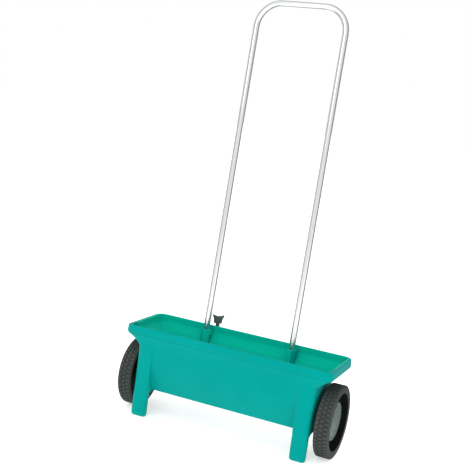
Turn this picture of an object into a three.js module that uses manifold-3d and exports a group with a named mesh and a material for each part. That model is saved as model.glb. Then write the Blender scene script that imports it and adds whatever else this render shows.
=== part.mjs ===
// A push-along drop spreader for lawn feed and seed: a moulded hopper on two wheels with a tube handle.
// Millimetres, +Z up. Origin on the ground under the middle of the whole spreader's outline.
// +X runs along the axle to the free wheel, -Y is the front and +Y the user's side.

import * as THREE from "three";
import { mergeVertices } from "three/addons/utils/BufferGeometryUtils.js";
import Module from "manifold-3d";

const wasm = await Module();
wasm.setup();

// ---------------------------------------------------------------- driving dimensions

const CLEARANCE = 0.3;
const RUNNING_GAP = 0.15;

const WHEEL_RADIUS = 100;
const WHEEL_WIDTH = 40;
const WHEEL_INNER_X = 276;
const AXLE_RADIUS = 5;
const BUSH_RADIUS = 9;
const BUSH_FLANGE_RADIUS = 14;

const RIM_HALF_LENGTH = 307;
const RIM_FRONT = -96;
const RIM_BACK = 98;
const RIM_TOP = 256;
const LIP_HEIGHT = 23;
const LIP_DRAFT = 1.5;
const LIP_THICKNESS = 6;
const END_LIP_THICKNESS = 13;

const BODY_HALF_LENGTH = 262;
const BODY_BOTTOM = 75;
const WALL = 3.5;
const FLOOR = 3;

const LEG_WIDTH = 46;
const LEG_OUTER_X = 264;
const FOOT_FRONT = -97;
const FOOT_DEPTH = 20;

const TUBE_RADIUS = 9;
const TUBE_WALL = 0.9;
const TUBE_X = 133.4;
const TUBE_Y_AT_RIM = 69;
const TUBE_LEAN = Math.atan(0.1);
const TUBE_BOTTOM_Z = 132;
const TUBE_JOINT_Z = 636;
const HANDLE_TOP_Z = 1197.5;
const HANDLE_BEND = 70;
const SOCKET_RADIUS = 13;
const SOCKET_TOP_Z = 247;
const SOCKET_BOTTOM_Z = 127;

const OUTLET_COUNT = 12;
const OUTLET_PITCH = 40;
const OUTLET_LENGTH = 18;
const OUTLET_WIDTH = 14;

const SHUTTER_TRAVEL = 20;
const SHUTTER_THICKNESS = 2.5;
const SHUTTER_HALF_WIDTH = 24;
const SHUTTER_TOP = BODY_BOTTOM - 0.5;

const SPINDLE_X = -116;
const SPINDLE_Y = 105;
const SPINDLE_RADIUS = 3;
const CRANK_THROW = SHUTTER_TRAVEL;
const CRANK_REST_ANGLE = -30;
const CRANK_PIN_RADIUS = 2.5;

const HANDLE_BACK = TUBE_Y_AT_RIM + (HANDLE_TOP_Z - RIM_TOP) * Math.tan(TUBE_LEAN) + TUBE_RADIUS;
const AXLE_Y = (WHEEL_RADIUS - HANDLE_BACK) / 2;

const TEAL = { color: 0x05a79e, roughness: 0.42, metalness: 0 };
const BLACK_PLASTIC = { color: 0x232625, roughness: 0.6, metalness: 0 };
const WHEEL_PLASTIC = { color: 0x484b4a, roughness: 0.65, metalness: 0 };
const CAP_PLASTIC = { color: 0x7d8582, roughness: 0.5, metalness: 0 };
const BRIGHT_ALLOY = { color: 0xc4c8ca, roughness: 0.3, metalness: 1 };
const WHITE_NYLON = { color: 0xd9d9d2, roughness: 0.5, metalness: 0 };
const BRIGHT_TUBE = { color: 0xd5dadb, roughness: 0.16, metalness: 1 };
const ZINC_STEEL = { color: 0xaeb2b5, roughness: 0.35, metalness: 1 };

// ---------------------------------------------------------------- geometry helpers

// One closed skin: shared corners joined, and slivers with no area dropped.
function weld(geometry) {
  const bare = geometry.clone();
  bare.deleteAttribute("normal");
  bare.deleteAttribute("uv");
  const joined = mergeVertices(bare);
  const index = joined.getIndex().array;
  const kept = [];
  for (let i = 0; i < index.length; i += 3) {
    const [a, b, c] = [index[i], index[i + 1], index[i + 2]];
    if (a !== b && b !== c && c !== a) {
      kept.push(a, b, c);
    }
  }
  joined.setIndex(kept);
  joined.computeVertexNormals();
  return joined;
}

function solid(geometry) {
  const skin = weld(geometry);
  return new wasm.Manifold(new wasm.Mesh({
    numProp: 3,
    vertProperties: new Float32Array(skin.getAttribute("position").array),
    triVerts: new Uint32Array(skin.getIndex().array),
  }));
}

function geometryOf(manifold) {
  const mesh = manifold.getMesh();
  const geometry = new THREE.BufferGeometry();
  geometry.setAttribute("position", new THREE.BufferAttribute(new Float32Array(mesh.vertProperties), 3));
  geometry.setIndex(Array.from(mesh.triVerts));
  geometry.computeVertexNormals();
  return geometry;
}

function block(x, y, z) {
  const geometry = new THREE.BoxGeometry(x[1] - x[0], y[1] - y[0], z[1] - z[0]);
  geometry.translate((x[0] + x[1]) / 2, (y[0] + y[1]) / 2, (z[0] + z[1]) / 2);
  return solid(geometry);
}

function rod(radius, from, to, sides = 16) {
  const start = new THREE.Vector3(...from);
  const end = new THREE.Vector3(...to);
  const axis = end.clone().sub(start);
  const geometry = new THREE.CylinderGeometry(radius, radius, axis.length(), sides);
  const turn = new THREE.Quaternion().setFromUnitVectors(new THREE.Vector3(0, 1, 0), axis.normalize());
  geometry.applyQuaternion(turn);
  geometry.translate(...start.add(end).divideScalar(2).toArray());
  return solid(geometry);
}

// Turns a closed outline of [radius, distance along the axis] points about +Y.
function turned(outline, sides) {
  const points = [...outline, outline[0]].map(([r, along]) => new THREE.Vector2(r, along));
  return new THREE.LatheGeometry(points, sides);
}

// The corners of a rounded rectangle at one height, anticlockwise from above.
function roundedRing({ z, left, right, front, back, corner, frontCorner = corner }) {
  const STEPS = 4;
  const corners = [
    [right - frontCorner, front + frontCorner, frontCorner],
    [right - corner, back - corner, corner],
    [left + corner, back - corner, corner],
    [left + frontCorner, front + frontCorner, frontCorner],
  ];
  const ring = [];
  corners.forEach(([x, y, radius], quarter) => {
    for (let step = 0; step <= STEPS; step += 1) {
      const angle = (quarter - 1 + step / STEPS) * (Math.PI / 2);
      ring.push([x + radius * Math.cos(angle), y + radius * Math.sin(angle), z]);
    }
  });
  return ring;
}

// Skins a stack of rounded rectangles, lowest first, and closes both ends.
function loft(sections) {
  const rings = sections.map(roundedRing);
  const count = rings[0].length;
  const index = [];
  for (let level = 0; level + 1 < rings.length; level += 1) {
    for (let i = 0; i < count; i += 1) {
      const next = (i + 1) % count;
      const low = level * count;
      const high = low + count;
      index.push(low + i, low + next, high + next, low + i, high + next, high + i);
    }
  }
  const top = (rings.length - 1) * count;
  for (let i = 1; i + 1 < count; i += 1) {
    index.push(0, i + 1, i, top, top + i, top + i + 1);
  }
  const geometry = new THREE.BufferGeometry();
  geometry.setAttribute("position", new THREE.Float32BufferAttribute(rings.flat(2), 3));
  geometry.setIndex(index);
  return solid(geometry);
}

function ringShape(outer, inner) {
  const shape = new THREE.Shape();
  shape.absarc(0, 0, outer, 0, Math.PI * 2, false);
  const hole = new THREE.Path();
  hole.absarc(0, 0, inner, 0, Math.PI * 2, true);
  shape.holes.push(hole);
  return shape;
}

function polygonShape(points) {
  return new THREE.Shape(points.map(([x, y]) => new THREE.Vector2(x, y)));
}

// A path whose equal parameter steps land on the stations it is given.
class StationPath extends THREE.Curve {
  constructor(stations) {
    super();
    this.stations = stations;
  }

  getPoint(t, target = new THREE.Vector3()) {
    const spans = this.stations.length - 1;
    const span = Math.min(Math.floor(t * spans), spans - 1);
    return target.lerpVectors(this.stations[span], this.stations[span + 1], t * spans - span);
  }

  getUtoTmapping(u) {
    return u;
  }
}

const spreader = new THREE.Group();
spreader.position.y = AXLE_Y;

function addPiece(parent, name, finish, geometry) {
  const mesh = new THREE.Mesh(weld(geometry), new THREE.MeshStandardMaterial(finish));
  mesh.name = name;
  parent.add(mesh);
  return mesh;
}

const SIDES = [["left", -1], ["right", 1]];

// Where the tubes' centre line is, at a height.
function tubeYAt(z) {
  return TUBE_Y_AT_RIM + (z - RIM_TOP) * Math.tan(TUBE_LEAN);
}

// The outer face of the hopper's rear wall, at a height below the flange.
const REAR_WALL_SLOPE = 0.13;
function rearWallAt(z) {
  return 50 + (z - BODY_BOTTOM) * REAR_WALL_SLOPE;
}

// ---------------------------------------------------------------- hopper

const lipBottom = RIM_TOP - LIP_HEIGHT;
const flareStart = 200;

function hopperSection(z, halfLength, front, back, corner, frontCorner) {
  return { z, left: -halfLength, right: halfLength, front, back, corner, frontCorner };
}

function rimSection(z, inset) {
  return hopperSection(z, RIM_HALF_LENGTH - inset, RIM_FRONT + inset, RIM_BACK - inset, 26, 13);
}

const outerSections = [
  hopperSection(BODY_BOTTOM, BODY_HALF_LENGTH, -64, rearWallAt(BODY_BOTTOM), 13, 10),
  hopperSection(130, 263.8, -81, rearWallAt(130), 15, 11),
  hopperSection(165, 265, -87, 62.5, 16, 12),
  hopperSection(flareStart, 266, -89, 70, 17, 12),
  hopperSection(211, 275.5, -90, 76.5, 20, 12),
  hopperSection(221, 287.5, -91.5, 84.5, 22, 13),
  hopperSection(lipBottom - 2, 304, -94, 95, 24, 13),
  rimSection(lipBottom, 0),
  rimSection(RIM_TOP - 1, LIP_DRAFT),
  rimSection(RIM_TOP, LIP_DRAFT + 1),
];

const floorTop = BODY_BOTTOM + FLOOR;

// The front wall is thicker than the rest, so that the empty spreader's weight falls ahead of the axle.
const innerSections = [
  hopperSection(floorTop, 258.5, -54.5, rearWallAt(floorTop) - WALL, 9, 7),
  hopperSection(130, 260.3, -71.5, rearWallAt(130) - WALL, 11, 8),
  hopperSection(165, 261.5, -77.5, 59.3, 12, 9),
  hopperSection(flareStart, 262, -79.5, 66.8, 13, 9),
  hopperSection(213, 271.5, -82, 73, 15, 9),
  hopperSection(225, 284, -85.5, 82.5, 16, 9),
  hopperSection(238, 292, RIM_FRONT + LIP_THICKNESS + 0.8, RIM_BACK - LIP_THICKNESS - 1.5, 18, 10),
  hopperSection(
    RIM_TOP + 2, RIM_HALF_LENGTH - END_LIP_THICKNESS,
    RIM_FRONT + LIP_THICKNESS, RIM_BACK - LIP_THICKNESS, 19, 10,
  ),
];

// A front leg runs from the foot up into the underside of the lip.
function legSection(side, z, inset, front, back) {
  const inner = LEG_OUTER_X - LEG_WIDTH + inset;
  const outer = LEG_OUTER_X - inset;
  const [left, right] = side > 0 ? [inner, outer] : [-outer, -inner];
  return { z, left, right, front, back, corner: 8 };
}

function leg(side) {
  const footBack = FOOT_FRONT + FOOT_DEPTH;
  return loft([
    legSection(side, 0, 4, FOOT_FRONT + 3, footBack - 3),
    legSection(side, 4, 1, FOOT_FRONT, footBack),
    legSection(side, 64, 0, -95, footBack),
    legSection(side, BODY_BOTTOM - 2, 0, -94.5, -58),
    legSection(side, lipBottom + 2, 0, -89, -58),
  ]);
}

// The moulded socket that holds a handle tube stands half inside and half outside the rear wall.
function socketBody(side) {
  const x = side * TUBE_X;
  const column = rod(
    SOCKET_RADIUS,
    [x, tubeYAt(SOCKET_BOTTOM_Z), SOCKET_BOTTOM_Z],
    [x, tubeYAt(SOCKET_TOP_Z), SOCKET_TOP_Z],
    24,
  );
  const backing = block(
    [x - SOCKET_RADIUS, x + SOCKET_RADIUS],
    [tubeYAt(SOCKET_TOP_Z), RIM_BACK - 2],
    [lipBottom - 4, SOCKET_TOP_Z - 1],
  );
  return column.add(backing);
}

const SOCKET_SCREW_Z = [152, 205];
const SCREW_RADIUS = 2;
const SCREW_HOLE = SCREW_RADIUS + 0.25;

function socketBore(side) {
  const x = side * TUBE_X;
  let bore = rod(
    TUBE_RADIUS + CLEARANCE,
    [x, tubeYAt(TUBE_BOTTOM_Z - CLEARANCE), TUBE_BOTTOM_Z - CLEARANCE],
    [x, tubeYAt(RIM_TOP + 20), RIM_TOP + 20],
    24,
  );
  for (const z of SOCKET_SCREW_Z) {
    const y = tubeYAt(z);
    bore = bore.add(rod(SCREW_HOLE, [x, y, z], [x, y + 30, z - 30 * Math.tan(TUBE_LEAN)], 10));
  }
  return bore;
}

const RAIL_SCREWS = [[-200, -29], [200, -29], [-200, 29], [200, 29]];
const RAIL_SCREW_TIP = 84;
const BRACKET_SCREW_X = [SPINDLE_X - 8, SPINDLE_X + 8];
const BRACKET_SCREW_Z = 112;
const LUG_BOTTOM = 236;
const LUG_TOP = 252;
const LUG_RADIUS = 9;

function hopper() {
  let body = loft(outerSections);
  for (const [, side] of SIDES) {
    body = body.add(leg(side));
  }
  body = body.subtract(loft(innerSections));

  for (const [, side] of SIDES) {
    body = body.add(socketBody(side));
    body = body.add(rod(18, [side * 255, 0, WHEEL_RADIUS], [side * 268, 0, WHEEL_RADIUS], 24));
  }
  for (const [x, y] of RAIL_SCREWS) {
    body = body.add(rod(5, [x, y, floorTop - 1], [x, y, RAIL_SCREW_TIP + 3], 12));
  }
  for (const x of BRACKET_SCREW_X) {
    const y = rearWallAt(BRACKET_SCREW_Z);
    body = body.add(rod(5, [x, y - 10, BRACKET_SCREW_Z], [x, y - 1, BRACKET_SCREW_Z], 12));
  }
  body = body.add(rod(LUG_RADIUS, [SPINDLE_X, SPINDLE_Y, LUG_BOTTOM], [SPINDLE_X, SPINDLE_Y, LUG_TOP], 20));
  body = body.add(block(
    [SPINDLE_X - LUG_RADIUS, SPINDLE_X + LUG_RADIUS],
    [RIM_BACK - 2, SPINDLE_Y],
    [LUG_BOTTOM, LUG_TOP],
  ));

  for (const [, side] of SIDES) {
    body = body.subtract(socketBore(side));
    body = body.subtract(rod(
      BUSH_RADIUS + CLEARANCE, [side * 245, 0, WHEEL_RADIUS], [side * 280, 0, WHEEL_RADIUS], 24,
    ));
  }
  for (let i = 0; i < OUTLET_COUNT; i += 1) {
    const x = (i - (OUTLET_COUNT - 1) / 2) * OUTLET_PITCH;
    body = body.subtract(block(
      [x - OUTLET_LENGTH / 2, x + OUTLET_LENGTH / 2],
      [-OUTLET_WIDTH / 2, OUTLET_WIDTH / 2],
      [BODY_BOTTOM - 1, floorTop + 1],
    ));
  }
  for (const [x, y] of RAIL_SCREWS) {
    body = body.subtract(rod(SCREW_HOLE, [x, y, BODY_BOTTOM - 1], [x, y, RAIL_SCREW_TIP + 1], 10));
  }
  for (const x of BRACKET_SCREW_X) {
    const y = rearWallAt(BRACKET_SCREW_Z);
    body = body.subtract(rod(SCREW_HOLE, [x, y - 7, BRACKET_SCREW_Z], [x, y + 5, BRACKET_SCREW_Z], 10));
  }
  return body.subtract(rod(
    SPINDLE_RADIUS + 0.4, [SPINDLE_X, SPINDLE_Y, LUG_BOTTOM - 1], [SPINDLE_X, SPINDLE_Y, LUG_TOP + 1], 16,
  ));
}

addPiece(spreader, "hopper", TEAL, geometryOf(hopper()));

// ---------------------------------------------------------------- screws

const SCREW_SIDES = 8;

// A pan-head screw whose head sits on +Y and whose shank runs down -Y from the origin.
function screw(headRadius, headHeight, length) {
  return new THREE.LatheGeometry([
    new THREE.Vector2(0, -length),
    new THREE.Vector2(SCREW_RADIUS - 0.8, -length),
    new THREE.Vector2(SCREW_RADIUS, -length + 2),
    new THREE.Vector2(SCREW_RADIUS, 0),
    new THREE.Vector2(headRadius, 0),
    new THREE.Vector2(headRadius, headHeight * 0.45),
    new THREE.Vector2(headRadius * 0.7, headHeight),
    new THREE.Vector2(0, headHeight),
  ], SCREW_SIDES);
}

// ---------------------------------------------------------------- handle

// Everything on the handle is placed from the rim, along the leaning line of the tubes.
const handle = new THREE.Group();
handle.position.set(0, TUBE_Y_AT_RIM, RIM_TOP);
handle.rotation.x = -TUBE_LEAN;
spreader.add(handle);

function alongTube(z) {
  return (z - RIM_TOP) / Math.cos(TUBE_LEAN);
}

const tubeBottom = alongTube(TUBE_BOTTOM_Z);
const tubeJoint = alongTube(TUBE_JOINT_Z);
const handleTop = alongTube(HANDLE_TOP_Z);
const JOINT_SCREW_Z = [592, 680];
const SLEEVE_HALF_LENGTH = 68;
const TUBE_SIDES = 7;

function tubeAlong(path, steps, outer, inner) {
  return new THREE.ExtrudeGeometry(ringShape(outer, inner), {
    extrudePath: path, steps, curveSegments: TUBE_SIDES,
  });
}

function straightTube(x, from, to, outer, inner) {
  const path = new THREE.LineCurve3(new THREE.Vector3(x, 0, from), new THREE.Vector3(x, 0, to));
  return solid(tubeAlong(path, 1, outer, inner));
}

// A screw hole through the near wall of a tube: side -1 is the front, 1 the user's side.
function wallHole(x, along, side) {
  return rod(SCREW_HOLE, [x, 0, along], [x, side * 30, along], 10);
}

function handleLoop() {
  const corner = TUBE_X - HANDLE_BEND;
  const BEND_STEPS = 8;
  const stations = [new THREE.Vector3(-TUBE_X, 0, tubeJoint + CLEARANCE)];
  for (const side of [-1, 1]) {
    for (let step = 0; step <= BEND_STEPS; step += 1) {
      const swing = step / BEND_STEPS;
      const angle = (side < 0 ? 1 - swing : swing) * (Math.PI / 2);
      stations.push(new THREE.Vector3(
        side * (corner + HANDLE_BEND * Math.sin(angle)),
        0,
        handleTop - HANDLE_BEND + HANDLE_BEND * Math.cos(angle),
      ));
    }
  }
  stations.push(new THREE.Vector3(TUBE_X, 0, tubeJoint + CLEARANCE));
  const path = new StationPath(stations);
  return solid(tubeAlong(path, stations.length - 1, TUBE_RADIUS, TUBE_RADIUS - TUBE_WALL));
}

let loop = handleLoop();
for (const [name, side] of SIDES) {
  const x = side * TUBE_X;
  const sleeveOuter = TUBE_RADIUS - TUBE_WALL - CLEARANCE;
  let lower = straightTube(x, tubeBottom, tubeJoint, TUBE_RADIUS, TUBE_RADIUS - TUBE_WALL);
  let sleeve = straightTube(
    x, tubeJoint - SLEEVE_HALF_LENGTH, tubeJoint + SLEEVE_HALF_LENGTH, sleeveOuter, sleeveOuter - 1.2,
  );
  for (const z of SOCKET_SCREW_Z) {
    lower = lower.subtract(wallHole(x, alongTube(z), 1));
  }
  for (const z of JOINT_SCREW_Z) {
    const hole = wallHole(x, alongTube(z), -1);
    lower = lower.subtract(hole);
    loop = loop.subtract(hole);
    sleeve = sleeve.subtract(hole);
  }
  addPiece(handle, `lower_tube_${name}`, BRIGHT_TUBE, geometryOf(lower));
  addPiece(handle, `joint_sleeve_${name}`, BRIGHT_ALLOY, geometryOf(sleeve));

  JOINT_SCREW_Z.forEach((z, i) => {
    const piece = addPiece(handle, `joint_screw_${name}_${i + 1}`, ZINC_STEEL, screw(4, 2.4, 9));
    piece.position.set(x, -TUBE_RADIUS - 0.2, alongTube(z));
    piece.rotation.x = Math.PI;
  });
  SOCKET_SCREW_Z.forEach((z, i) => {
    const piece = addPiece(handle, `socket_screw_${name}_${i + 1}`, ZINC_STEEL, screw(4.5, 3, 11));
    piece.position.set(x, SOCKET_RADIUS + 0.2, alongTube(z));
  });
}
addPiece(handle, "handle_loop", BRIGHT_TUBE, geometryOf(loop));

// ---------------------------------------------------------------- wheels, axle and agitator

const WHEEL_SIDES = 40;
const wheelSkin = WHEEL_RADIUS / Math.cos(Math.PI / WHEEL_SIDES);
const RING_INNER = 78;
const CAP_RADIUS = 52.5;
const CAP_DEPTH = 11;
const CAP_SIDES = 28;
const SMALL_TURNED_SIDES = 18;

// The distances along a wheel's outline run outwards from its inner face.
function wheelOutline() {
  const bore = AXLE_RADIUS + RUNNING_GAP;
  return [
    [bore, 0], [15, 0], [16, 13], [85, 13], [88, 0], [wheelSkin - 2.5, 0], [wheelSkin, 2.5],
    [wheelSkin, WHEEL_WIDTH - 2.5], [wheelSkin - 2.5, WHEEL_WIDTH], [RING_INNER + 1.5, WHEEL_WIDTH],
    [RING_INNER, WHEEL_WIDTH - 1.5], [RING_INNER, 19], [55, 19], [55, 25.5], [50.5, 25.5], [50.5, 17],
    [bore, 17],
  ];
}

function capOutline() {
  const face = WHEEL_WIDTH - CAP_DEPTH;
  return [
    [0, face - 2.5], [46, face - 2.5], [46, 20], [49.5, 20], [49.5, face - 3], [CAP_RADIUS, face - 3],
    [CAP_RADIUS, face - 1.2], [CAP_RADIUS - 1.5, face], [20, face + 1], [0, face + 1.2],
  ];
}

// Moves an outline's axis from +Y to a side's outward X, starting at the wheel's inner face.
function ontoAxle(geometry, side, start = WHEEL_INNER_X) {
  geometry.rotateZ(-side * Math.PI / 2);
  geometry.rotateX(Math.PI / WHEEL_SIDES);
  geometry.translate(side * start, 0, WHEEL_RADIUS);
  return geometry;
}

const PIN_RADIUS = 2;
const PIN_X = WHEEL_INNER_X + 2.6;
const PIN_HALF_LENGTH = 13;
const AXLE_END = WHEEL_INNER_X + 24;

for (const [name, side] of SIDES) {
  let wheel = solid(ontoAxle(turned(wheelOutline(), WHEEL_SIDES), side));
  if (side < 0) {
    const grooveEnd = PIN_X + PIN_RADIUS + CLEARANCE;
    wheel = wheel.subtract(block(
      [-grooveEnd, -WHEEL_INNER_X + 1],
      [-PIN_RADIUS - CLEARANCE, PIN_RADIUS + CLEARANCE],
      [WHEEL_RADIUS - 17, WHEEL_RADIUS + 17],
    ));
  }
  addPiece(spreader, `wheel_${name}`, WHEEL_PLASTIC, geometryOf(wheel));

  const cap = capOutline().map(([r, along]) => new THREE.Vector2(r, along));
  addPiece(spreader, `hub_cap_${name}`, CAP_PLASTIC, ontoAxle(new THREE.LatheGeometry(cap, CAP_SIDES), side));

  const bore = AXLE_RADIUS + RUNNING_GAP;
  const bush = [
    [bore, -24], [BUSH_RADIUS, -24], [BUSH_RADIUS, -7.4], [BUSH_FLANGE_RADIUS, -7.4],
    [BUSH_FLANGE_RADIUS, -4.6], [bore, -4.6],
  ];
  addPiece(spreader, `axle_bush_${name}`, WHITE_NYLON, ontoAxle(turned(bush, SMALL_TURNED_SIDES), side));

  const washer = [[bore, 17.4], [11, 17.4], [11, 18.9], [bore, 18.9]];
  addPiece(spreader, `axle_washer_${name}`, ZINC_STEEL, ontoAxle(turned(washer, SMALL_TURNED_SIDES), side));

  const clip = [[bore, 19.2], [10, 19.2], [10, 20], [7, 22], [bore, 22]];
  addPiece(spreader, `axle_clip_${name}`, ZINC_STEEL, ontoAxle(turned(clip, SMALL_TURNED_SIDES), side));
}

const crossHole = rod(PIN_RADIUS + 0.15, [-PIN_X, 0, WHEEL_RADIUS - 20], [-PIN_X, 0, WHEEL_RADIUS + 20], 12);
const shaft = rod(AXLE_RADIUS, [-AXLE_END, 0, WHEEL_RADIUS], [AXLE_END, 0, WHEEL_RADIUS], 20);
addPiece(spreader, "axle_shaft", ZINC_STEEL, geometryOf(shaft.subtract(crossHole)));
addPiece(spreader, "drive_pin", ZINC_STEEL, geometryOf(rod(
  PIN_RADIUS, [-PIN_X, 0, WHEEL_RADIUS - PIN_HALF_LENGTH], [-PIN_X, 0, WHEEL_RADIUS + PIN_HALF_LENGTH], 12,
)));

const PADDLE_REACH = 20;
const AGITATOR_END = 248;

// Each agitator half is a sleeve with a pair of paddles over every outlet, each an eighth turn on.
for (const [name, side] of SIDES) {
  let agitator = rod(8, [side * 2, 0, WHEEL_RADIUS], [side * AGITATOR_END, 0, WHEEL_RADIUS], 16);
  for (let i = 0; i < OUTLET_COUNT / 2; i += 1) {
    const x = side * (i + 0.5) * OUTLET_PITCH;
    const swing = i * (Math.PI / 4);
    const tip = [PADDLE_REACH * Math.sin(swing), PADDLE_REACH * Math.cos(swing)];
    const paddle = new THREE.BoxGeometry(12, 3, PADDLE_REACH * 2);
    paddle.rotateX(Math.atan2(tip[0], tip[1]));
    paddle.translate(x, 0, WHEEL_RADIUS);
    agitator = agitator.add(solid(paddle));
  }
  const bore = rod(AXLE_RADIUS + 0.2, [0, 0, WHEEL_RADIUS], [side * 260, 0, WHEEL_RADIUS], 20);
  addPiece(spreader, `agitator_${name}`, BLACK_PLASTIC, geometryOf(agitator.subtract(bore)));
}

// ---------------------------------------------------------------- shutter under the outlets

const shutterBottom = SHUTTER_TOP - SHUTTER_THICKNESS;
const crankRest = THREE.MathUtils.degToRad(CRANK_REST_ANGLE);
const pinRestX = SPINDLE_X + CRANK_THROW * Math.sin(crankRest);
const pinRestY = SPINDLE_Y - CRANK_THROW * Math.cos(crankRest);
const TONGUE_HALF_WIDTH = 12;
const shutterHalfLength = (OUTLET_COUNT * OUTLET_PITCH) / 2 + 12;
const shutterMiddle = -SHUTTER_TRAVEL / 2;

// Closed at rest: its slots stand one travel to the left of the hopper's outlets.
function shutterPlate() {
  const thick = [shutterBottom, SHUTTER_TOP];
  let plate = block(
    [shutterMiddle - shutterHalfLength, shutterMiddle + shutterHalfLength],
    [-SHUTTER_HALF_WIDTH, SHUTTER_HALF_WIDTH],
    thick,
  );
  const tongueEnd = SPINDLE_Y - LUG_RADIUS - 1;
  const tongue = [pinRestX - TONGUE_HALF_WIDTH, pinRestX + TONGUE_HALF_WIDTH];
  plate = plate.add(block(tongue, [SHUTTER_HALF_WIDTH - 1, tongueEnd], thick));
  for (let i = 0; i < OUTLET_COUNT; i += 1) {
    const x = (i - (OUTLET_COUNT - 1) / 2) * OUTLET_PITCH - SHUTTER_TRAVEL;
    plate = plate.subtract(block(
      [x - OUTLET_LENGTH / 2, x + OUTLET_LENGTH / 2],
      [-OUTLET_WIDTH / 2, OUTLET_WIDTH / 2],
      [shutterBottom - 1, SHUTTER_TOP + 1],
    ));
  }
  const slotHalfWidth = CRANK_PIN_RADIUS + 0.5;
  const pinFarY = SPINDLE_Y - CRANK_THROW;
  return plate.subtract(block(
    [pinRestX - slotHalfWidth, pinRestX + slotHalfWidth],
    [pinFarY - slotHalfWidth - 0.5, pinRestY + slotHalfWidth + 0.5],
    [shutterBottom - 1, SHUTTER_TOP + 1],
  ));
}

addPiece(spreader, "shutter_plate", BLACK_PLASTIC, geometryOf(shutterPlate()));

const RAIL_BOTTOM = 68.5;
const RAIL_OUTER_Y = 34;
const RAIL_INNER_Y = 20;
const RAIL_HALF_LENGTH = 256;

function shutterRail(side) {
  const ledge = shutterBottom - CLEARANCE;
  const lip = SHUTTER_HALF_WIDTH + 0.4;
  const profile = polygonShape([
    [RAIL_INNER_Y, RAIL_BOTTOM], [RAIL_OUTER_Y, RAIL_BOTTOM], [RAIL_OUTER_Y, BODY_BOTTOM - CLEARANCE],
    [lip, BODY_BOTTOM - CLEARANCE], [lip, ledge], [RAIL_INNER_Y, ledge],
  ]);
  const geometry = new THREE.ExtrudeGeometry(profile, { depth: RAIL_HALF_LENGTH * 2, bevelEnabled: false });
  geometry.rotateX(Math.PI / 2);
  geometry.rotateZ(Math.PI / 2);
  geometry.translate(-RAIL_HALF_LENGTH, 0, 0);
  let rail = solid(geometry);
  if (side < 0) {
    rail = rail.mirror([0, 1, 0]);
  } else {
    rail = rail.subtract(block(
      [pinRestX - TONGUE_HALF_WIDTH - 3, pinRestX + TONGUE_HALF_WIDTH + SHUTTER_TRAVEL + 3],
      [RAIL_INNER_Y - 1, RAIL_OUTER_Y + 1],
      [ledge, BODY_BOTTOM],
    ));
  }
  for (const [x, y] of RAIL_SCREWS) {
    rail = rail.subtract(rod(SCREW_HOLE, [x, y, RAIL_BOTTOM - 1], [x, y, BODY_BOTTOM], 10));
  }
  return rail;
}

addPiece(spreader, "shutter_rail_front", BLACK_PLASTIC, geometryOf(shutterRail(-1)));
addPiece(spreader, "shutter_rail_rear", BLACK_PLASTIC, geometryOf(shutterRail(1)));

RAIL_SCREWS.forEach(([x, y], i) => {
  const head = RAIL_BOTTOM - 0.2;
  const piece = addPiece(spreader, `rail_screw_${i + 1}`, ZINC_STEEL, screw(4, 2.4, RAIL_SCREW_TIP - head));
  piece.position.set(x, y, head);
  piece.rotation.x = -Math.PI / 2;
});

// ---------------------------------------------------------------- flow control

const BRACKET_ARM = [78, 84];
const BRACKET_HALF_WIDTH = 14;
const BRACKET_FLANGE_TOP = 122;

function spindleBracket() {
  const width = [SPINDLE_X - BRACKET_HALF_WIDTH, SPINDLE_X + BRACKET_HALF_WIDTH];
  const wallFace = (z) => rearWallAt(z) + CLEARANCE;
  const profile = polygonShape([
    [wallFace(BRACKET_ARM[0]), BRACKET_ARM[0]], [SPINDLE_Y, BRACKET_ARM[0]], [SPINDLE_Y, BRACKET_ARM[1]],
    [wallFace(BRACKET_ARM[1]) + 14, BRACKET_ARM[1]], [wallFace(BRACKET_ARM[1]) + 4, BRACKET_ARM[1] + 8],
    [wallFace(BRACKET_FLANGE_TOP) + 4, BRACKET_FLANGE_TOP],
    [wallFace(BRACKET_FLANGE_TOP), BRACKET_FLANGE_TOP],
  ]);
  const geometry = new THREE.ExtrudeGeometry(profile, { depth: width[1] - width[0], bevelEnabled: false });
  geometry.rotateX(Math.PI / 2);
  geometry.rotateZ(Math.PI / 2);
  geometry.translate(width[0], 0, 0);
  let bracket = solid(geometry);
  bracket = bracket.add(rod(
    BRACKET_HALF_WIDTH, [SPINDLE_X, SPINDLE_Y, BRACKET_ARM[0]], [SPINDLE_X, SPINDLE_Y, BRACKET_ARM[1]], 24,
  ));
  bracket = bracket.subtract(rod(
    SPINDLE_RADIUS + 0.4, [SPINDLE_X, SPINDLE_Y, 70], [SPINDLE_X, SPINDLE_Y, 90], 16,
  ));
  for (const x of BRACKET_SCREW_X) {
    const y = rearWallAt(BRACKET_SCREW_Z);
    bracket = bracket.subtract(rod(
      SCREW_HOLE, [x, y - 5, BRACKET_SCREW_Z], [x, y + 20, BRACKET_SCREW_Z], 10,
    ));
  }
  return bracket;
}

addPiece(spreader, "spindle_bracket", BLACK_PLASTIC, geometryOf(spindleBracket()));
BRACKET_SCREW_X.forEach((x, i) => {
  const piece = addPiece(spreader, `bracket_screw_${i + 1}`, ZINC_STEEL, screw(4, 2.4, 10.5));
  piece.position.set(x, rearWallAt(BRACKET_SCREW_Z) + 5.2, BRACKET_SCREW_Z);
});

const flowControl = new THREE.Group();
flowControl.position.set(SPINDLE_X, SPINDLE_Y, 0);
spreader.add(flowControl);

const KNOB_BOTTOM = 253;
const KNOB_HEIGHT = 34;
const KNOB_NECK = 9.5;
const KNOB_NECK_RADIUS = 6;
const KNOB_THICKNESS = 16;
const KNOB_REST_TURN = THREE.MathUtils.degToRad(27);
const CRANK_LEVEL = [66.5, 70.5];
const SPINDLE_TOP = KNOB_BOTTOM + 22;

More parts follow.
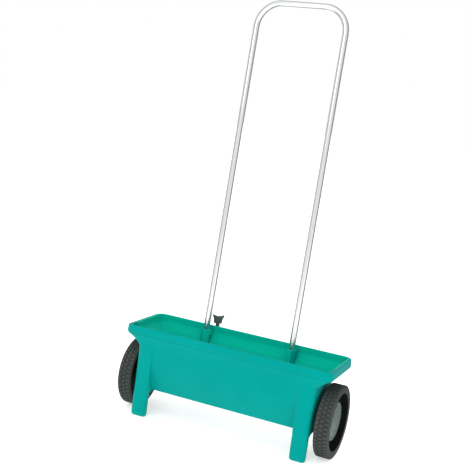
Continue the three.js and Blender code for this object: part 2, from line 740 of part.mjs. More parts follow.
function knob() {
  const waist = 12.2;
  const ear = 17.4;
  const outline = new THREE.Shape();
  outline.moveTo(-waist, KNOB_NECK);
  outline.lineTo(waist, KNOB_NECK);
  outline.quadraticCurveTo(waist + 1, 18, ear - 1, KNOB_HEIGHT - 8);
  outline.quadraticCurveTo(ear + 1.5, KNOB_HEIGHT - 1, ear - 2, KNOB_HEIGHT);
  outline.quadraticCurveTo(6, KNOB_HEIGHT - 4, 0, KNOB_HEIGHT - 4);
  outline.quadraticCurveTo(-6, KNOB_HEIGHT - 4, -ear + 2, KNOB_HEIGHT);
  outline.quadraticCurveTo(-ear - 1.5, KNOB_HEIGHT - 1, -ear + 1, KNOB_HEIGHT - 8);
  outline.quadraticCurveTo(-waist - 1, 18, -waist, KNOB_NECK);
  const wing = new THREE.ExtrudeGeometry(outline, {
    depth: KNOB_THICKNESS, bevelEnabled: false, curveSegments: 4,
  });
  wing.translate(0, 0, -KNOB_THICKNESS / 2);
  wing.rotateX(Math.PI / 2);
  wing.rotateZ(KNOB_REST_TURN);
  let body = solid(wing).add(rod(KNOB_NECK_RADIUS, [0, 0, 0], [0, 0, KNOB_NECK + 1], 16));
  body = body.subtract(rod(SPINDLE_RADIUS + 0.2, [0, 0, -1], [0, 0, SPINDLE_TOP - KNOB_BOTTOM + 0.5], 12));
  return geometryOf(body);
}

addPiece(flowControl, "knob", BLACK_PLASTIC, knob()).position.z = KNOB_BOTTOM;
addPiece(flowControl, "control_spindle", BRIGHT_ALLOY, geometryOf(rod(
  SPINDLE_RADIUS, [0, 0, CRANK_LEVEL[0] - 2], [0, 0, SPINDLE_TOP], 12,
)));
addPiece(flowControl, "spindle_clip", ZINC_STEEL, geometryOf(
  rod(6, [0, 0, BRACKET_ARM[1] + 0.3], [0, 0, BRACKET_ARM[1] + 1.8], 16).subtract(
    rod(SPINDLE_RADIUS + 0.15, [0, 0, 70], [0, 0, 90], 12),
  ),
));

const crank = new THREE.Group();
crank.rotation.z = crankRest;
flowControl.add(crank);

const crankArm = block([-4, 4], [-CRANK_THROW, 0], CRANK_LEVEL)
  .add(rod(6.5, [0, 0, CRANK_LEVEL[0]], [0, 0, CRANK_LEVEL[1]], 16))
  .add(rod(5, [0, -CRANK_THROW, CRANK_LEVEL[0]], [0, -CRANK_THROW, CRANK_LEVEL[1]], 16))
  .subtract(rod(SPINDLE_RADIUS + 0.15, [0, 0, 60], [0, 0, 80], 12))
  .subtract(rod(1.5 + 0.15, [0, -CRANK_THROW, 60], [0, -CRANK_THROW, 80], 12));
addPiece(crank, "crank_arm", ZINC_STEEL, geometryOf(crankArm));

const crankPin = rod(1.5, [0, -CRANK_THROW, CRANK_LEVEL[0] - 1], [0, -CRANK_THROW, CRANK_LEVEL[1] + 1], 12)
  .add(rod(
    CRANK_PIN_RADIUS, [0, -CRANK_THROW, CRANK_LEVEL[1] + CLEARANCE], [0, -CRANK_THROW, SHUTTER_TOP + 1.5], 12,
  ));
addPiece(crank, "crank_pin", ZINC_STEEL, geometryOf(crankPin));

export default spreader;
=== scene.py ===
"""The looks of a push-along drop spreader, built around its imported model.

Shapes are worked out in millimetres from the ground under the wheel axle, and go into the frame in metres:
+X runs along the axle to the free wheel, -Y is the front, +Y the user's side and +Z up.
"""

import math

import bmesh
import bpy
from mathutils import Matrix, Vector


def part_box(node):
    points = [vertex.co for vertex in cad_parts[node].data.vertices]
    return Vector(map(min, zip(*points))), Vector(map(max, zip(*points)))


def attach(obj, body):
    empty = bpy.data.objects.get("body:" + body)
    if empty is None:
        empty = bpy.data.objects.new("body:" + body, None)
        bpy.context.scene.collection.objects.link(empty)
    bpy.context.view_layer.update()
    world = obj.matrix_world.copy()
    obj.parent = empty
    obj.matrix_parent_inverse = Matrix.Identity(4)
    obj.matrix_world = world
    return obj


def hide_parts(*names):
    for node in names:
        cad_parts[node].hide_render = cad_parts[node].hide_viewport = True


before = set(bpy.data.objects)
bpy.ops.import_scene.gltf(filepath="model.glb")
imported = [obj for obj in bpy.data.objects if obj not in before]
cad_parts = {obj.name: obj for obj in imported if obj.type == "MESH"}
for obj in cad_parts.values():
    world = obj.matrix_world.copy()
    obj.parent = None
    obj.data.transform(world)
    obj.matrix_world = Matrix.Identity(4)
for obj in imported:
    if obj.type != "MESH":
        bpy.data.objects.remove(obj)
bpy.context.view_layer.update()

MM = 0.001
SIDES = (("left", -1), ("right", 1))

# ---- dimensions, most of them read from the frame

GROUND = Vector((0, sum(corner.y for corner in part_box("wheel_right")) / 2, 0))


def box_mm(node):
    """A node's lowest and highest corners, in millimetres from the ground under the axle."""
    low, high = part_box(node)
    return (low - GROUND) / MM, (high - GROUND) / MM


hopper_low, hopper_high = box_mm("hopper")
wheel_low, wheel_high = box_mm("wheel_right")
_, cap_high = box_mm("hub_cap_right")
tube_low, tube_high = box_mm("lower_tube_right")
loop_low, loop_high = box_mm("handle_loop")
knob_low, knob_high = box_mm("knob")
spindle_low, spindle_high = box_mm("control_spindle")

AXLE_Z = (wheel_low.z + wheel_high.z) / 2
WHEEL_INNER_X = wheel_low.x
WHEEL_WIDTH = wheel_high.x - wheel_low.x
WHEEL_RADIUS = 100
RING_INNER = 78
CAP_FACE = cap_high.x - WHEEL_INNER_X

RIM_HALF_LENGTH = hopper_high.x
RIM_TOP = hopper_high.z
RIM_FRONT = -96
RIM_BACK = 98
FOOT_FRONT = hopper_low.y

TUBE_X = (tube_low.x + tube_high.x) / 2
TUBE_RADIUS = (tube_high.x - tube_low.x) / 2
TUBE_WALL = 0.9
TUBE_LEAN = math.atan(0.1)
HANDLE_BEND = 70

SPINDLE_X = (spindle_low.x + spindle_high.x) / 2
SPINDLE_Y = (spindle_low.y + spindle_high.y) / 2
SPINDLE_RADIUS = 3

# ---- mesh helpers


def into_frame(point):
    return GROUND + Vector(point) * MM


def add_object(name, data):
    """A new object in the scene."""
    made = bpy.data.objects.new(name, data)
    bpy.context.scene.collection.objects.link(made)
    return made


def mesh_of(name, shells):
    """One mesh object from closed shells of (vertices, faces) in millimetres, all faces pointing out."""
    mesh = bmesh.new()
    for points, faces in shells:
        vertices = [mesh.verts.new(into_frame(p)) for p in points]
        for face in faces:
            mesh.faces.new([vertices[i] for i in face])
    bmesh.ops.recalc_face_normals(mesh, faces=mesh.faces)
    data = bpy.data.meshes.new(name)
    mesh.to_mesh(data)
    mesh.free()
    return add_object(name, data)


def combine(target, shells, operation, overlapping=False):
    """Joins shells to an object, or cuts them from it. The shells may overlap one another if it says so."""
    tool = mesh_of("tool", shells)
    modifier = target.modifiers.new("combine", "BOOLEAN")
    modifier.operation = operation
    modifier.solver = "EXACT"
    modifier.use_self = overlapping
    modifier.object = tool
    graph = bpy.context.evaluated_depsgraph_get()
    result = bpy.data.meshes.new_from_object(target.evaluated_get(graph))
    target.modifiers.clear()
    target.data = result
    bpy.data.objects.remove(tool)


def finish_piece(target, slot, body, *nodes, sharp=35):
    """Shades a piece, gives it its slot's material, and hangs it on its body in place of its CAD nodes."""
    target.data.shade_smooth()
    target.data.set_sharp_from_angle(angle=math.radians(sharp))
    target.data.materials.clear()
    target.data.materials.append(MATERIALS[slot])
    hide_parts(*nodes)
    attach(target, body)


def rounded(points, radius, steps=3, closed=True):
    """A polygon with its corners turned into short arcs."""
    count = len(points)
    result = []
    for i, point in enumerate(points):
        if not closed and i in (0, count - 1):
            result.append(tuple(point))
            continue
        here = Vector(point)
        before = Vector(points[i - 1]) - here
        after = Vector(points[(i + 1) % count]) - here
        reach = min(radius, before.length * 0.45, after.length * 0.45)
        start = here + before.normalized() * reach
        end = here + after.normalized() * reach
        for step in range(steps + 1):
            t = step / steps
            result.append(tuple(start * (1 - t) ** 2 + here * 2 * t * (1 - t) + end * t * t))
    return result


def grid_faces(rows, sides, closed):
    """Faces between rows of points that each go once round. Closed joins the last row to the first."""
    faces = []
    for row in range(rows if closed else rows - 1):
        a, b = row * sides, (row + 1) % rows * sides
        for i in range(sides):
            j = (i + 1) % sides
            faces.append((a + i, a + j, b + j, b + i))
    return faces


def skin(rings):
    """Faces between rings of equal length, lowest first, and a face over each end."""
    count = len(rings[0])
    points = [p for ring in rings for p in ring]
    faces = grid_faces(len(rings), count, False)
    faces.append(tuple(range(count)))
    faces.append(tuple(range(len(points) - count, len(points))))
    return points, faces


def lathe(outline, sides, place):
    """Turns an outline of (radius, along) points. It closes on itself, or starts and ends on the axis.

    place(radius, angle, along) gives each point.
    """
    on_axis = outline[0][0] == 0 and outline[-1][0] == 0
    body = outline[1:-1] if on_axis else outline
    angles = [2 * math.pi * i / sides for i in range(sides)]
    points = [place(r, angle, along) for r, along in body for angle in angles]
    faces = grid_faces(len(body), sides, not on_axis)
    if on_axis:
        last = len(points) - sides
        first_pole = len(points)
        points += [place(0, 0, outline[0][1]), place(0, 0, outline[-1][1])]
        for i in range(sides):
            j = (i + 1) % sides
            faces.append((first_pole, j, i))
            faces.append((first_pole + 1, last + i, last + j))
    return points, faces


def rectangle(x, y):
    """The four corners between two pairs of limits, anticlockwise."""
    return [(x[0], y[0]), (x[1], y[0]), (x[1], y[1]), (x[0], y[1])]


def band(inner, outer, start, end):
    """The outline of a plain round band, or of a rod where its inner radius is 0."""
    return rectangle((inner, outer), (start, end))


def turned_piece(name, outline, sides, place, slot, body, node):
    """A turned piece that stands for one CAD node."""
    finish_piece(mesh_of(name, [lathe(outline, sides, place)]), slot, body, node)


def on_axle(side, start=WHEEL_INNER_X):
    """Places lathe points round the wheel axle, running outwards from a wheel's inner face."""
    def place(r, angle, along):
        return (side * (start + along), r * math.cos(angle), AXLE_Z + r * math.sin(angle))
    return place


def upright(x, y, z=0):
    def place(r, angle, along):
        return (x + r * math.cos(angle), y + r * math.sin(angle), z + along)
    return place


def leaned(x, y, along):
    """A point beside a handle tube's centre line, at a distance along it."""
    sine = math.sin(TUBE_LEAN)
    cosine = math.cos(TUBE_LEAN)
    return (x, TUBE_FOOT.y + along * sine + y * cosine, TUBE_FOOT.z + along * cosine - y * sine)


def up_tube(x):
    """Places lathe points round a handle tube, with the distance measured along its leaning line."""
    def place(r, angle, along):
        return leaned(x + r * math.cos(angle), r * math.sin(angle), along)
    return place


def box_shell(x, y, z):
    """A closed box between pairs of limits."""
    return skin([[(*corner, level) for corner in rectangle(x, y)] for level in z])


def prism(outline, low, high, edge=0.0):
    """An upright prism with an (x, y) outline, its top and bottom edges chamfered by edge."""
    middle = Vector((
        (min(p[0] for p in outline) + max(p[0] for p in outline)) / 2,
        (min(p[1] for p in outline) + max(p[1] for p in outline)) / 2,
    ))
    span = max((Vector(p) - middle).length for p in outline)

    def level(z, inset):
        share = 1 - inset / span
        return [(*(middle + (Vector(p) - middle) * share), z) for p in outline]
    if edge:
        rings = [level(low, edge), level(low + edge, 0), level(high - edge, 0), level(high, edge)]
    else:
        rings = [level(low, 0), level(high, 0)]
    return skin(rings)


# Where a handle tube's centre line starts, at its lower end.
TUBE_FOOT = Vector((
    TUBE_X,
    tube_low.y + TUBE_RADIUS * math.cos(TUBE_LEAN),
    tube_low.z + TUBE_RADIUS * math.sin(TUBE_LEAN),
))


def along_at(z):
    """The distance along a handle tube's centre line at a height."""
    return (z - TUBE_FOOT.z) / math.cos(TUBE_LEAN)


def tube_y(z):
    return TUBE_FOOT.y + (z - TUBE_FOOT.z) * math.tan(TUBE_LEAN)


# ---- material helpers


def new_material(name):
    """An empty material with its shader and its object-space coordinates."""
    material = bpy.data.materials.new(name)
    material.use_nodes = True
    tree = material.node_tree
    shader = tree.nodes["Principled BSDF"]
    where = tree.nodes.new("ShaderNodeTexCoord").outputs["Object"]
    return material, tree, shader, where


def stretched(tree, where, scale):
    """Coordinates scaled by a different amount along each axis."""
    mapping = tree.nodes.new("ShaderNodeMapping")
    mapping.inputs["Scale"].default_value = scale
    tree.links.new(where, mapping.inputs["Vector"])
    return mapping.outputs["Vector"]


def noise(tree, where, scale, detail=3.0, roughness=0.5):
    node = tree.nodes.new("ShaderNodeTexNoise")
    node.inputs["Scale"].default_value = scale
    node.inputs["Detail"].default_value = detail
    node.inputs["Roughness"].default_value = roughness
    tree.links.new(where, node.inputs["Vector"])
    return node.outputs["Fac"]


def between(tree, value, low, high, start=0.3, end=0.7):
    """A value from start to end, spread over low to high."""
    node = tree.nodes.new("ShaderNodeMapRange")
    node.inputs["From Min"].default_value = start
    node.inputs["From Max"].default_value = end
    node.inputs["To Min"].default_value = low
    node.inputs["To Max"].default_value = high
    tree.links.new(value, node.inputs["Value"])
    return node.outputs["Result"]


def mixed(tree, share, first, second):
    """Two colours mixed by a share. Each is a colour or the output of a node."""
    node = tree.nodes.new("ShaderNodeMix")
    node.data_type = "RGBA"
    tree.links.new(share, node.inputs["Factor"])
    for socket, colour in ((node.inputs[6], first), (node.inputs[7], second)):
        if isinstance(colour, bpy.types.NodeSocket):
            tree.links.new(colour, socket)
        else:
            socket.default_value = (*colour, 1)
    return node.outputs[2]


def times(tree, first, second):
    node = tree.nodes.new("ShaderNodeMath")
    node.operation = "MULTIPLY"
    tree.links.new(first, node.inputs[0])
    tree.links.new(second, node.inputs[1])
    return node.outputs[0]


def axis_of(tree, vector, axis):
    split = tree.nodes.new("ShaderNodeSeparateXYZ")
    tree.links.new(vector, split.inputs["Vector"])
    return split.outputs[axis]


def vector_math(tree, operation, first):
    """A vector node with its first input linked."""
    node = tree.nodes.new("ShaderNodeVectorMath")
    node.operation = operation
    tree.links.new(first, node.inputs[0])
    return node


def offset_from(tree, where, centre):
    node = vector_math(tree, "SUBTRACT", where)
    node.inputs[1].default_value = centre
    return node.outputs["Vector"]


def painted_bounce_share(tree, where):
    """The mask of the painted bounce light inside the hopper: 1 on upright faces behind the front wall that
    look in towards the middle, and 0 on all others.
    """
    offset = offset_from(tree, where, GROUND)
    facing = vector_math(tree, "DOT_PRODUCT", stretched(tree, offset, (1.0, 1.0, 0.0)))
    tree.links.new(where.node.outputs["Normal"], facing.inputs[1])
    inward = between(tree, facing.outputs["Value"], 1.0, 0.0, -0.012, 0.0)
    behind = between(tree, axis_of(tree, offset, "Y"), 0.0, 1.0, *FRONT_WALL_REACH)
    return times(tree, inward, behind)


def recess_shade_share(tree, where):
    """The mask of the painted shade in the wheel's recess: 1 round the hub cap, inside the tread ring,
    falling to 0 on the ring's outer face.
    """
    offset = offset_from(tree, where, GROUND + Vector((0, 0, AXLE_Z * MM)))
    reach = vector_math(tree, "LENGTH", stretched(tree, offset, (0.0, 1.0, 1.0)))
    return between(tree, reach.outputs["Value"], 1.0, 0.0, (RING_INNER + 0.5) * MM, (RING_INNER + 2) * MM)


def bumped(tree, shader, heights):
    """Chains bump nodes of (height, strength, distance) into the shader's normal."""
    normal = None
    for height, strength, distance in heights:
        node = tree.nodes.new("ShaderNodeBump")
        node.inputs["Strength"].default_value = strength
        node.inputs["Distance"].default_value = distance
        tree.links.new(height, node.inputs["Height"])
        if normal is not None:
            tree.links.new(normal, node.inputs["Normal"])
        normal = node.outputs["Normal"]
    tree.links.new(normal, shader.inputs["Normal"])


def shade(colour, factor):
    return tuple(min(1.0, c * factor) for c in colour)


def moulded_plastic(name, colour, roughness, specular, grain=700, grain_strength=0.12, spread=0.05,
                    sheen_tint=(1, 1, 1)):
    """Satin moulded plastic: slow colour drift, patchy gloss, a fine grain and a faint unevenness."""
    material, tree, shader, where = new_material(name)
    drift = between(tree, noise(tree, where, 7.0), 0.0, 1.0)
    tree.links.new(
        mixed(tree, drift, shade(colour, 1 - spread), shade(colour, 1 + spread)),
        shader.inputs["Base Color"],
    )
    patches = noise(tree, where, 45.0, 5.0, 0.6)
    gloss = between(tree, patches, roughness - 0.05, roughness + 0.07)
    tree.links.new(gloss, shader.inputs["Roughness"])
    shader.inputs["Specular IOR Level"].default_value = specular
    shader.inputs["Specular Tint"].default_value = (*sheen_tint, 1)
    bumped(tree, shader, [
        (noise(tree, where, grain, 2.0), grain_strength, 0.0002),
        (noise(tree, where, 28.0, 2.0), 0.15, 0.0006),
    ])
    return material, tree, shader, where


def drawn_metal(name, colour, roughness, stretch, dulling):
    """Metal with streaks along its length, patchy polish and a few dull spots."""
    material, tree, shader, where = new_material(name)
    along = stretched(tree, where, stretch)
    streaks = noise(tree, along, 60.0, 4.0, 0.7)
    cloud = noise(tree, where, 9.0, 4.0)
    tint = mixed(tree, between(tree, streaks, 0.0, 1.0), shade(colour, 0.94), colour)
    spots = between(tree, noise(tree, where, 160.0, 5.0, 0.7), 0.0, dulling, 0.62, 0.78)
    tree.links.new(mixed(tree, spots, tint, shade(colour, 0.55)), shader.inputs["Base Color"])
    polish = between(tree, cloud, roughness - 0.03, roughness + 0.06)
    tree.links.new(polish, shader.inputs["Roughness"])
    shader.inputs["Metallic"].default_value = 1.0
    bumped(tree, shader, [
        (streaks, 0.08, 0.0001),
        (noise(tree, where, 900.0, 2.0), 0.05, 0.00005),
    ])
    return material


# ---- materials

TEAL = (0.0005, 0.298, 0.268)
# Painted bounce light: the lighter, greener teal of the hopper's inside faces.
TEAL_PAINTED_BOUNCE = (0.0005, 0.465, 0.335)
TEAL_PALE = (0.02, 0.42, 0.38)
TEAL_GLOSS = (0.05, 0.75, 0.75)
DUST = (0.16, 0.15, 0.13)
WHEEL_DARK = (0.056, 0.064, 0.060)
# Painted shade: the near black of the dished recess inside the tread ring.
WHEEL_PAINTED_RECESS_SHADE = (0.009, 0.010, 0.010)
# Where the painted bounce light inside sets in behind the front wall, and how high the scuffs reach, in
# metres.
FRONT_WALL_REACH = (-0.06, -0.045)
SCUFF_HEIGHT = 0.03


def teal_plastic():
    """The hopper's plastic: painted bounce light makes it lighter and greener inside; scuffed round the
    feet, with a few pale scratches.
    """
    material, tree, shader, where = moulded_plastic(
        "teal_plastic", TEAL, 0.42, 0.12, sheen_tint=TEAL_GLOSS,
    )
    outside_colour = shader.inputs["Base Color"].links[0].from_socket
    # Painted bounce light: inward faces behind the front wall get a lighter, greener teal.
    body_colour = mixed(tree, painted_bounce_share(tree, where), outside_colour, TEAL_PAINTED_BOUNCE)
    scuffs = noise(tree, stretched(tree, where, (3.0, 3.0, 0.7)), 90.0, 6.0, 0.75)
    low = between(tree, axis_of(tree, where, "Z"), 1.0, 0.0, 0.002, SCUFF_HEIGHT)
    worn = times(tree, between(tree, scuffs, 0.0, 0.7, 0.52, 0.68), low)
    marked = mixed(tree, worn, body_colour, TEAL_PALE)
    scratches = noise(tree, stretched(tree, where, (1.5, 6.0, 14.0)), 40.0, 8.0, 0.8)
    fine = between(tree, scratches, 0.0, 0.10, 0.66, 0.74)
    tree.links.new(mixed(tree, fine, marked, TEAL_PALE), shader.inputs["Base Color"])
    return material


def wheel_plastic():
    """Dark wheel plastic, greyed by dust on the tread, with painted shade in the recess round the hub cap.
    """
    material, tree, shader, where = moulded_plastic(
        "wheel_plastic", WHEEL_DARK, 0.68, 0.03, grain=500, grain_strength=0.2, spread=0.18,
    )
    body_colour = shader.inputs["Base Color"].links[0].from_socket
    dusty = between(tree, noise(tree, where, 120.0, 6.0, 0.7), 0.0, 0.12, 0.5, 0.75)
    dusted = mixed(tree, dusty, body_colour, DUST)
    # Painted shade: the recess inside the tread ring is darkened to near black.
    shaded = mixed(tree, recess_shade_share(tree, where), dusted, WHEEL_PAINTED_RECESS_SHADE)
    tree.links.new(shaded, shader.inputs["Base Color"])
    return material


# Each slot's material.
MATERIALS = {
    "teal_plastic": teal_plastic(),
    "wheel_plastic": wheel_plastic(),
    "cap_plastic": moulded_plastic("cap_plastic", (0.105, 0.142, 0.130), 0.42, 0.12, spread=0.06)[0],
    "black_plastic": moulded_plastic("black_plastic", (0.075, 0.095, 0.095), 0.5, 0.3, spread=0.15)[0],
    "white_nylon": moulded_plastic("white_nylon", (0.66, 0.66, 0.61), 0.45, 0.4, spread=0.03)[0],
    "bright_tube": drawn_metal("bright_tube", (0.74, 0.755, 0.76), 0.14, (30.0, 30.0, 0.6), 0.12),
    "bright_alloy": drawn_metal("bright_alloy", (0.78, 0.79, 0.80), 0.25, (12.0, 12.0, 1.0), 0.15),
    "zinc_steel": drawn_metal("zinc_steel", (0.62, 0.64, 0.66), 0.32, (6.0, 6.0, 6.0), 0.5),
}

# ---- hopper

LIP_HEIGHT = 23
LIP_ROUND = 2.5
LIP_FOOT_ROUND = 3.5
LIP_DRAFT = 1.5
BODY_BOTTOM = 75
FLOOR_TOP = 78
FLOOR_ROUND = 5.0
WALL = 3.5
REAR_WALL_Y = 50
REAR_WALL_LEAN = 0.13
FLARE_START = 200

LEG_INNER_X = 218
LEG_OUTER_X = 264
LEG_CORNER = 8
LEG_HOLLOW = 5
LEG_ROUND = 5
LEG_LEAST_SPAN = 10
LEG_LEAST_STEP = 0.01
LEG_BACK = -58
LEG_FLARE_START = 64
FOOT_DEPTH = 20
LEG_FACE_Y = -94.5
LEG_DRAFT = 5.5 / 160
LEG_HEIGHTS = (74.7, 74, 73, 71, 68, 64, 58, 50, 38, 25, 12, 4, 1.2, 0)
# How far the foot's edge has drawn in at its lowest heights.
FOOT_INSETS = {4: 1.0, 1.2: 2.4, 0: 4.0}

FRONT_STEPS = 12
ARC_STEPS = 7
LEG_FACE_STEPS = 3
END_STEPS = (3, 6)
BACK_STEPS = 16
CHAIN_STEPS = 14


def rear_wall(z):
    return REAR_WALL_Y + (z - BODY_BOTTOM) * REAR_WALL_LEAN


# Each row is a height, half length, front, back, rear corner radius and front corner radius.
OUTER_WALL = [
    (BODY_BOTTOM, LEG_OUTER_X, -64, rear_wall(BODY_BOTTOM), 13, 10),
    (130, 264.5, -81, rear_wall(130), 15, 11),
    (165, 265, -87, 62.5, 16, 12),
    (FLARE_START, 266, -89, 70, 17, 12),
    (211, 275.5, -90, 76.5, 20, 12),
    (221, 287.5, -91.5, 84.5, 22, 13),
    (231, 304, -94, 95, 24, 13),
]
INNER_WALL = [
    (FLOOR_TOP, 258.5, -54.5, rear_wall(FLOOR_TOP) - WALL, 9, 7),
    (130, 260.3, -71.5, rear_wall(130) - WALL, 11, 8),
    (165, 261.5, -77.5, 59.3, 12, 9),
    (FLARE_START, 262, -79.5, 66.8, 13, 9),
    (213, 271.5, -82, 73, 15, 9),
    (225, 284, -85.5, 82.5, 16, 9),
    (238, 292, -89.2, 90.5, 18, 10),
    (RIM_TOP, 294, -90, 92, 19, 10),
]
RIM_OUTLINE = (RIM_HALF_LENGTH, RIM_FRONT, RIM_BACK, 26, 13)
MOUTH_OUTLINE = (294, -90, 92, 19, 10)
MOUTH_ROUND = 1.8


def eased(rows, z):
    """A section between the rows of a table, on a smooth curve that never overshoots them."""
    heights = [row[0] for row in rows]
    i = max(j for j in range(len(rows) - 1) if heights[j] <= z or j == 0)
    span = heights[i + 1] - heights[i]
    t = (z - heights[i]) / span
    section = []
    for column in range(1, len(rows[0])):
        slopes = [
            (rows[j + 1][column] - rows[j][column]) / (heights[j + 1] - heights[j])
            for j in range(len(rows) - 1)
        ]

        def tangent(j):
            if j == 0 or j == len(rows) - 1:
                return slopes[min(j, len(slopes) - 1)]
            before, after = slopes[j - 1], slopes[j]
            return 2 * before * after / (before + after) if before * after > 0 else 0.0
        start, end = rows[i][column], rows[i + 1][column]
        section.append(
            start * (2 * t ** 3 - 3 * t ** 2 + 1)
            + tangent(i) * span * (t ** 3 - 2 * t ** 2 + t)
            + end * (3 * t ** 2 - 2 * t ** 3)
            + tangent(i + 1) * span * (t ** 3 - t ** 2)
        )
    return tuple(section)


def shrunk(section, inset):
    half, front, back, corner, front_corner = section
    corners = (max(corner - inset, 1.0), max(front_corner - inset, 1.0))
    return half - inset, front + inset, back - inset, *corners


def lip_section(z, inset=0.0):
    """The lip's face, which draws in a little towards the top."""
    return shrunk(RIM_OUTLINE, inset + LIP_DRAFT * (z - RIM_TOP + LIP_HEIGHT) / LIP_HEIGHT)


def leg_front(z):
    return LEG_FACE_Y + (z - BODY_BOTTOM) * LEG_DRAFT


def leg_step(wall, face):
    """From the front wall out to a leg's face: a hollow arc, then a round one."""
    rise = wall - face
    hollow = LEG_HOLLOW
    outside = LEG_ROUND
    reach = hollow + outside
    swing = math.pi / 2
    if rise < reach:
        swing = math.acos(1 - rise / reach)
    if reach * math.sin(swing) < LEG_LEAST_SPAN:
        swing = 2 * math.atan(rise / LEG_LEAST_SPAN)
        widening = LEG_LEAST_SPAN / math.sin(swing) / reach
        hollow *= widening
        outside *= widening
    points = []
    for step in range(ARC_STEPS + 1):
        angle = swing * step / ARC_STEPS
        points.append((
            LEG_INNER_X - hollow * (math.sin(swing) - math.sin(angle)),
            wall - hollow * (1 - math.cos(angle)),
        ))
    for step in range(1, ARC_STEPS + 1):
        angle = swing * (1 - step / ARC_STEPS)
        points.append((
            LEG_INNER_X + outside * (math.sin(swing) - math.sin(angle)),
            face + outside * (1 - math.cos(angle)),
        ))
    return points


def corner_arc(x, y, radius, start):
    """A quarter turn of points, anticlockwise from a starting angle."""
    return [
        (x + radius * math.cos(start + step / ARC_STEPS * math.pi / 2),
         y + radius * math.sin(start + step / ARC_STEPS * math.pi / 2))
        for step in range(ARC_STEPS + 1)
    ]


def line(start, end, steps):
    """Points from start up to, but not including, end."""
    return [tuple(Vector(start).lerp(Vector(end), i / steps)) for i in range(steps)]


def half_outline(z, section, legs):
    """The right half of a level, from the middle of the front round to the middle of the back."""
    half, front, back, corner, front_corner = section
    face = front - LEG_LEAST_STEP
    if legs:
        face = min(leg_front(z), face)
    step_points = leg_step(front, face)
    front_arc = corner_arc(half - front_corner, face + front_corner, front_corner, -math.pi / 2)
    back_arc = corner_arc(half - corner, back - corner, corner, 0)
    points = line((0, front), step_points[0], FRONT_STEPS)
    points += step_points
    points += line(step_points[-1], front_arc[0], LEG_FACE_STEPS)[1:]
    points += front_arc
    points += line(front_arc[-1], (half, LEG_BACK), END_STEPS[0])[1:]
    points += line((half, LEG_BACK), back_arc[0], END_STEPS[1])
    points += back_arc
    points += line(back_arc[-1], (0, back), BACK_STEPS)[1:]
    points.append((0, back))
    return points


LEG_FIRST = FRONT_STEPS
LEG_LAST = FRONT_STEPS + 3 * ARC_STEPS + LEG_FACE_STEPS + END_STEPS[0]


def level_ring(z, section, legs=False):
    right = half_outline(z, section, legs)
    left = [(-x, y) for x, y in reversed(right[1:-1])]
    return [(x, y, z) for x, y in right + left]


def spaced(start, end, steps):
    return [start + (end - start) * i / steps for i in range(steps + 1)]


def arc_steps(angles, radius):
    """How far each step round an arc has risen and drawn in."""
    swings = [math.radians(angle) for angle in angles]
    return [(radius * math.sin(swing), radius * (1 - math.cos(swing))) for swing in swings]


def hopper_levels():
    """The hopper's rings: up the outside, over the lip, and down the inside to the floor."""
    rings = []
    heights = [75, 76, 78, 82, 90, 100, 112, 125, 138, 150, 162, 174, 185, 193]
    for z in heights + spaced(FLARE_START, OUTER_WALL[-1][0], 14):
        rings.append(level_ring(z, eased(OUTER_WALL, z), legs=True))
    for rise, inset in arc_steps((-75, -58, -40, -20, 0), LIP_FOOT_ROUND):
        z = RIM_TOP - LIP_HEIGHT + LIP_FOOT_ROUND + rise
        rings.append(level_ring(z, lip_section(z, inset)))
    for z in (242, 247, 251):
        rings.append(level_ring(z, lip_section(z)))
    for rise, inset in arc_steps((0, 22, 45, 68, 90), LIP_ROUND):
        z = RIM_TOP - LIP_ROUND + rise
        rings.append(level_ring(z, lip_section(z, inset)))
    for rise, inset in arc_steps((90, 65, 40, 18, 0), MOUTH_ROUND):
        rings.append(level_ring(RIM_TOP - MOUTH_ROUND + rise, shrunk(MOUTH_OUTLINE, -inset)))
    for z in [249, 244, 240] + spaced(237, FLARE_START, 14) + [193, 183, 165, 145, 125, 105, 90]:
        rings.append(level_ring(z, eased(INNER_WALL, z)))
    for rise, inset in arc_steps((0, 22, 45, 68, 90), FLOOR_ROUND):
        z = FLOOR_TOP + FLOOR_ROUND - rise
        rings.append(level_ring(z, shrunk(eased(INNER_WALL, z), inset)))
    return rings


def leg_loop(z, top_loop):
    """A leg's section, flaring near the top into the loop where it leaves the hopper."""
    inset = FOOT_INSETS.get(z, 0.5 * (BODY_BOTTOM - z) / BODY_BOTTOM)
    inner = LEG_INNER_X + inset
    outer = LEG_OUTER_X - inset
    front = max(leg_front(BODY_BOTTOM) - 2.5 * (BODY_BOTTOM - z) / 71, FOOT_FRONT) + max(inset - 1, 0)
    back = FOOT_FRONT + FOOT_DEPTH - max(inset - 1, 0)
    side_end = (inner, front + LEG_CORNER)
    loop = line((inner, back - LEG_CORNER), side_end, ARC_STEPS)
    loop += corner_arc(inner + LEG_CORNER, front + LEG_CORNER, LEG_CORNER, math.pi)
    face_end = (outer - LEG_CORNER, front)
    loop += line((inner + LEG_CORNER, front), face_end, LEG_FACE_STEPS)[1:]
    loop += corner_arc(outer - LEG_CORNER, front + LEG_CORNER, LEG_CORNER, -math.pi / 2)
    loop += line((outer, front + LEG_CORNER), (outer, back - LEG_CORNER), END_STEPS[0])[1:]
    loop.append((outer, back - LEG_CORNER))
    loop += corner_arc(outer - LEG_CORNER, back - LEG_CORNER, LEG_CORNER, 0)[1:]
    loop += corner_arc(inner + LEG_CORNER, back - LEG_CORNER, LEG_CORNER, math.pi / 2)[:-1]
    rise = min(max((z - LEG_FLARE_START) / (BODY_BOTTOM - LEG_FLARE_START), 0.0), 1.0)
    flare = 1 - math.sqrt(1 - rise * rise)
    return [
        (*(Vector(plain).lerp(Vector(top[:2]), flare)), z)
        for plain, top in zip(loop, top_loop, strict=True)
    ]


